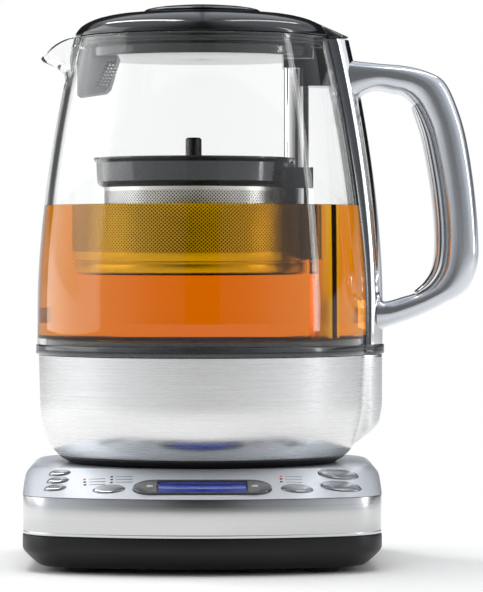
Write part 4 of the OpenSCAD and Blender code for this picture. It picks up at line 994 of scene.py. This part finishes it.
def make_basket():
    cup = ("basket", "mesh", "mesh_steel", ["basket_cup"])
    r, t = CUP_R, 0.5
    top, low = 169.2, 139.6
    pitch, hole_r = 1.6, 0.43
    rows = int((top - low) / pitch)
    gap = math.radians(26)  # half of the plain strip
    cols = int((2 * math.pi - 2 * gap) * r / pitch / 2) * 2
    half = cols // 2
    step = (2 * math.pi - 2 * gap) / cols
    z1 = low + rows * pitch
    for k, (c0, c1) in enumerate(((0, half), (half, cols))):
        a0, a1 = gap + step * c0, gap + step * c1
        sheet = perforated(r, t, low, rows, pitch, hole_r, a0, a1, c1 - c0)
        put(f"basket_perforated_{k}", *sheet, *cup, smooth=40)
    # plain strip towards the rail
    sheet = []
    for rr in (r, r - t):
        sheet.append([[(BASKET_X + rr * math.cos(a), rr * math.sin(a), z)
                       for a in np.linspace(-gap, gap, 21)] for z in (low, z1)])
    v, f = join([(g[0] + g[1], [(i, i + 1, 22 + i, 21 + i) for i in range(20)]) for g in sheet])
    put("basket_plain_strip", v, f, *cup)
    # plain bands above and below, the groove and the floor
    z0 = COLLAR_Z + 1.5 - CUP_DEEP
    prof = [(r - t, low), (r, low), (r, 136.4), (r - 0.15, 135.9), (r - 1.35, 135.3),
            (r - 1.4, 134.9), (r - 0.9, 134.4), (r - 0.8, 133.9), (r - 0.8, z0 + 1.6),
            (r - 1.1, z0 + 0.7), (r - 1.9, z0 + 0.05), (r - 4.0, z0), (r - 4.8, z0 + 0.4),
            (r - 5.2, z0 + 1.0), (0.01, z0 + 1.0), (0.01, z0 + 1.5), (r - 5.4, z0 + 1.5),
            (r - 4.3, z0 + 0.6), (r - 2.2, z0 + 0.6), (r - 1.4, z0 + 1.6), (r - 1.4, 134.0),
            (r - 1.9, 134.8), (r - 1.8, 135.6), (r - t, 136.5)]
    put("basket_lower_band", *spin(prof, 180, BASKET_X, closed=True), *cup, smooth=45)
    prof = [(r, z1), (r, 173.4), (r - t, 173.4), (r - t, z1)]
    put("basket_upper_band", *spin(prof, 180, BASKET_X, closed=True), *cup, smooth=45)

    # wet leaves up against the sheet: a dark mass, partly real leaves and partly painted shade,
    # that keeps the inside of the basket dark above the tea
    def heap(a, r, z):
        k = 0.6 * math.sin(7 * a + z * 0.9) + 0.5 * math.sin(17 * a - z * 1.7)
        return (max(r - 0.5 + 0.3 * k, 0.0) if r > 1 else r), z + (0.9 * k if z > 168 else 0)

    wall = CUP_R - 1.6
    prof = [(0, z0 + 1.9), (wall - 5, z0 + 1.9), (wall - 1.2, z0 + 4.5)]
    prof += [(wall - 0.6, z) for z in np.arange(137, 172, 2.5)] + [(wall - 3, 174.2)]
    prof += [(r, 175.4 - r / 32) for r in (32, 28, 24, 20, 16, 12, 8, 4)] + [(0, 175.4)]
    put("tea_leaves_and_painted_shade", *spin(prof, 120, BASKET_X, shape=heap), "basket", "leaves",
        "black_shell", smooth=60)


# --------------------------------------------------------- carried-over pieces
CARRIED = {
    "display_module": "board", "control_board": "board", "key_switches": "black",
    "power_board": "board", "coupler_socket": "black", "coupler_contacts": "brass",
    "cord_gland": "black", "base_screws": "screw", "jug_connector": "black",
    "connector_pins": "brass", "jug_gasket": "seal", "heating_plate": "plate",
    "heating_element": "plate", "plate_thermostat": "black", "lift_motor": "screw",
    "motor_bracket": "screw", "rail_tube": "chrome", "rail_cap": "dark",
    "handle_screws": "screw", "spout_filter": "filter", "rail_block": "slate",
    "basket_collar": "collar", "basket_magnets": "screw", "basket_lid": "collar",
    "basket_lid_knob": "lid", "lift_carriage": "white", "carriage_magnets": "screw",
    "lead_screw": "screw"}


def carry_over():
    for name, mat in CARRIED.items():
        ob = NODES[name]
        if not ob.material_slots:
            ob.data.materials.append(M[mat])
        for s in ob.material_slots:
            s.material = M[mat]


# ---------------------------------------------------------------------- stage
def make_stage():
    """A round paper floor, which fades to plain white away from the part."""
    white_from, white_to = 0.16, 0.42
    rings = [[(r * math.cos(a), r * math.sin(a), 0) for a in
              (2 * math.pi * i / 64 for i in range(64))] for r in (0.3, 0.8, 2.0, 6.0)]
    verts, faces = loft(rings, (True, False))
    me = bpy.data.meshes.new("floor")
    me.from_pydata(verts, [], faces)
    m = Mat("floor_paper")
    paper = m.node("BsdfPrincipled", Base_Color=m.tones(m.noise(700.0, detail=3), 0.86, 0.9),
                   Roughness=0.6)
    white = m.node("Emission", Strength=1.0, Color=(1, 1, 1, 1))
    away = m.node("VectorMath", _operation="LENGTH")
    m.set(away, "0", m.place())
    far = m.node("MapRange", Value=away.outputs["Value"], From_Min=white_from, From_Max=white_to)
    ray = m.node("LightPath").outputs
    seen = m.math("MAXIMUM", ray["Is Camera Ray"], ray["Is Transmission Ray"])
    me.materials.append(m.surface(m.mix(m.math("MULTIPLY", far, seen), paper, white)))
    add_object("floor", me)


def make_lights():
    def area(name, loc, look, size, size_y, power, turn=0.0):
        li = bpy.data.lights.new(name, "AREA")
        li.shape = "RECTANGLE"
        li.size, li.size_y = size, size_y
        li.energy = power
        ob = add_object(name, li)
        ob.location = loc
        ob.rotation_euler = (Vector(look) - Vector(loc)).to_track_quat("-Z", "Y").to_euler()
        ob.rotation_euler.rotate_axis("Z", turn)
        return ob

    # a large soft box beside the spout, a narrow one beside the handle, two strips behind
    area("soft_left", (-1.12, 0.30, 0.68), (0, 0, 0.68), 1.35, 1.2, 7.5)
    area("strip_right", (1.295, -0.113, 0.68), (0, 0, 0.68), 0.10, 1.2, 3.0)
    area("strip_top_left", (-0.52, 0.58, 1.35), (-0.52, 0.58, 0), 1.25, 0.13, 7.5,
         math.radians(121))
    area("strip_top_right", (0.54, 0.58, 1.35), (0.54, 0.58, 0), 1.2, 0.12, 3.0,
         math.radians(59))
    top = area("soft_top", (0.0, -0.3, 1.7), (0, 0, 0.1), 1.4, 1.2, 9)
    top.visible_glossy = False

    m = Mat("studio", world=True)
    bpy.context.scene.world = m.m
    sep = m.node("SeparateXYZ", Vector=m.place("Generated"))
    x, y, z = (sep.outputs[k] for k in "XYZ")

    def add(a, b):
        return m.math("ADD", a, b)

    def mul(a, b):
        return m.math("MULTIPLY", a, b)

    def ratio(a, b):
        return m.math("DIVIDE", a, m.math("MAXIMUM", b, 0.02))

    def between(t, a, b):
        """a where t is 1, b where it is 0."""
        return add(mul(a, t), mul(b, m.math("SUBTRACT", 1.0, t)))

    aside = m.math("ABSOLUTE", x)
    front, behind, rise = ratio(aside, mul(y, -1.0)), ratio(aside, y), ratio(z, y)
    level = m.math("SQRT", add(mul(x, x), add(mul(y, y), 1e-5)))
    turn = add(mul(m.math("DIVIDE", y, level), 0.5), 0.5)
    # what polished faces see: bright to the sides, dark in front, a dark zone high behind
    around = m.ramp(turn, [(0.0, grey(0.17)), (0.067, grey(0.30)), (0.19, grey(0.70)),
                           (0.45, grey(1.0)), (0.74, grey(0.95)), (0.82, grey(0.75)),
                           (0.87, grey(0.42)), (0.955, grey(0.42)), (0.985, grey(0.8))])
    ahead = mul(around, m.step(front, 0.195, 0.235, 0.04, 1.0))
    lit = m.math("MAXIMUM", m.step(rise, 0.05, 0.12, 1.0, 0.0), m.step(rise, 0.50, 0.62))
    lit = m.math("MAXIMUM", lit, m.step(y, 0.0, 0.25, 1.0, 0.0))
    shine = mul(ahead, m.step(lit, 0.0, 1.0, 0.02, 1.0))
    # what clear glass shows at its edges: slate beside the white backdrop
    high = m.step(behind, 0.27, 0.36, 1.0, 0.12)
    low = m.step(behind, 0.85, 1.1, 1.0, 0.35)
    clear = between(m.step(z, 0.008, 0.016), high, low)
    clear = between(m.step(y, -0.06, 0.06), clear, ahead)

    def background(strength, tint=(1, 1, 1, 1)):
        return m.node("Background", Strength=strength, Color=tint)

    ray = m.node("LightPath").outputs
    shader = m.mix(ray["Is Glossy Ray"], background(0.62), background(shine, (0.93, 0.98, 1.05, 1)))
    shader = m.mix(ray["Is Transmission Ray"], shader, background(clear))
    m.surface(m.mix(ray["Is Camera Ray"], shader, background(1.0)))


def make_camera():
    cam = bpy.data.cameras.new("view")
    cam.lens = 212.8
    cam.sensor_width = 36.0
    cam.sensor_fit = "AUTO"
    ob = add_object("view", cam)
    eye, aim = Vector((0, -1.61, 0.137)), Vector((0.01803, 0, 0.12044))
    ob.location = eye
    ob.rotation_euler = (aim - eye).to_track_quat("-Z", "Y").to_euler()
    bpy.context.scene.camera = ob


make_camera()
make_lights()
make_stage()
carry_over()
make_base()
make_pot()
make_glass()
make_tea()
make_spine()
make_handle()
make_lid()
make_basket()
bpy.context.scene.view_settings.view_transform = "Standard"
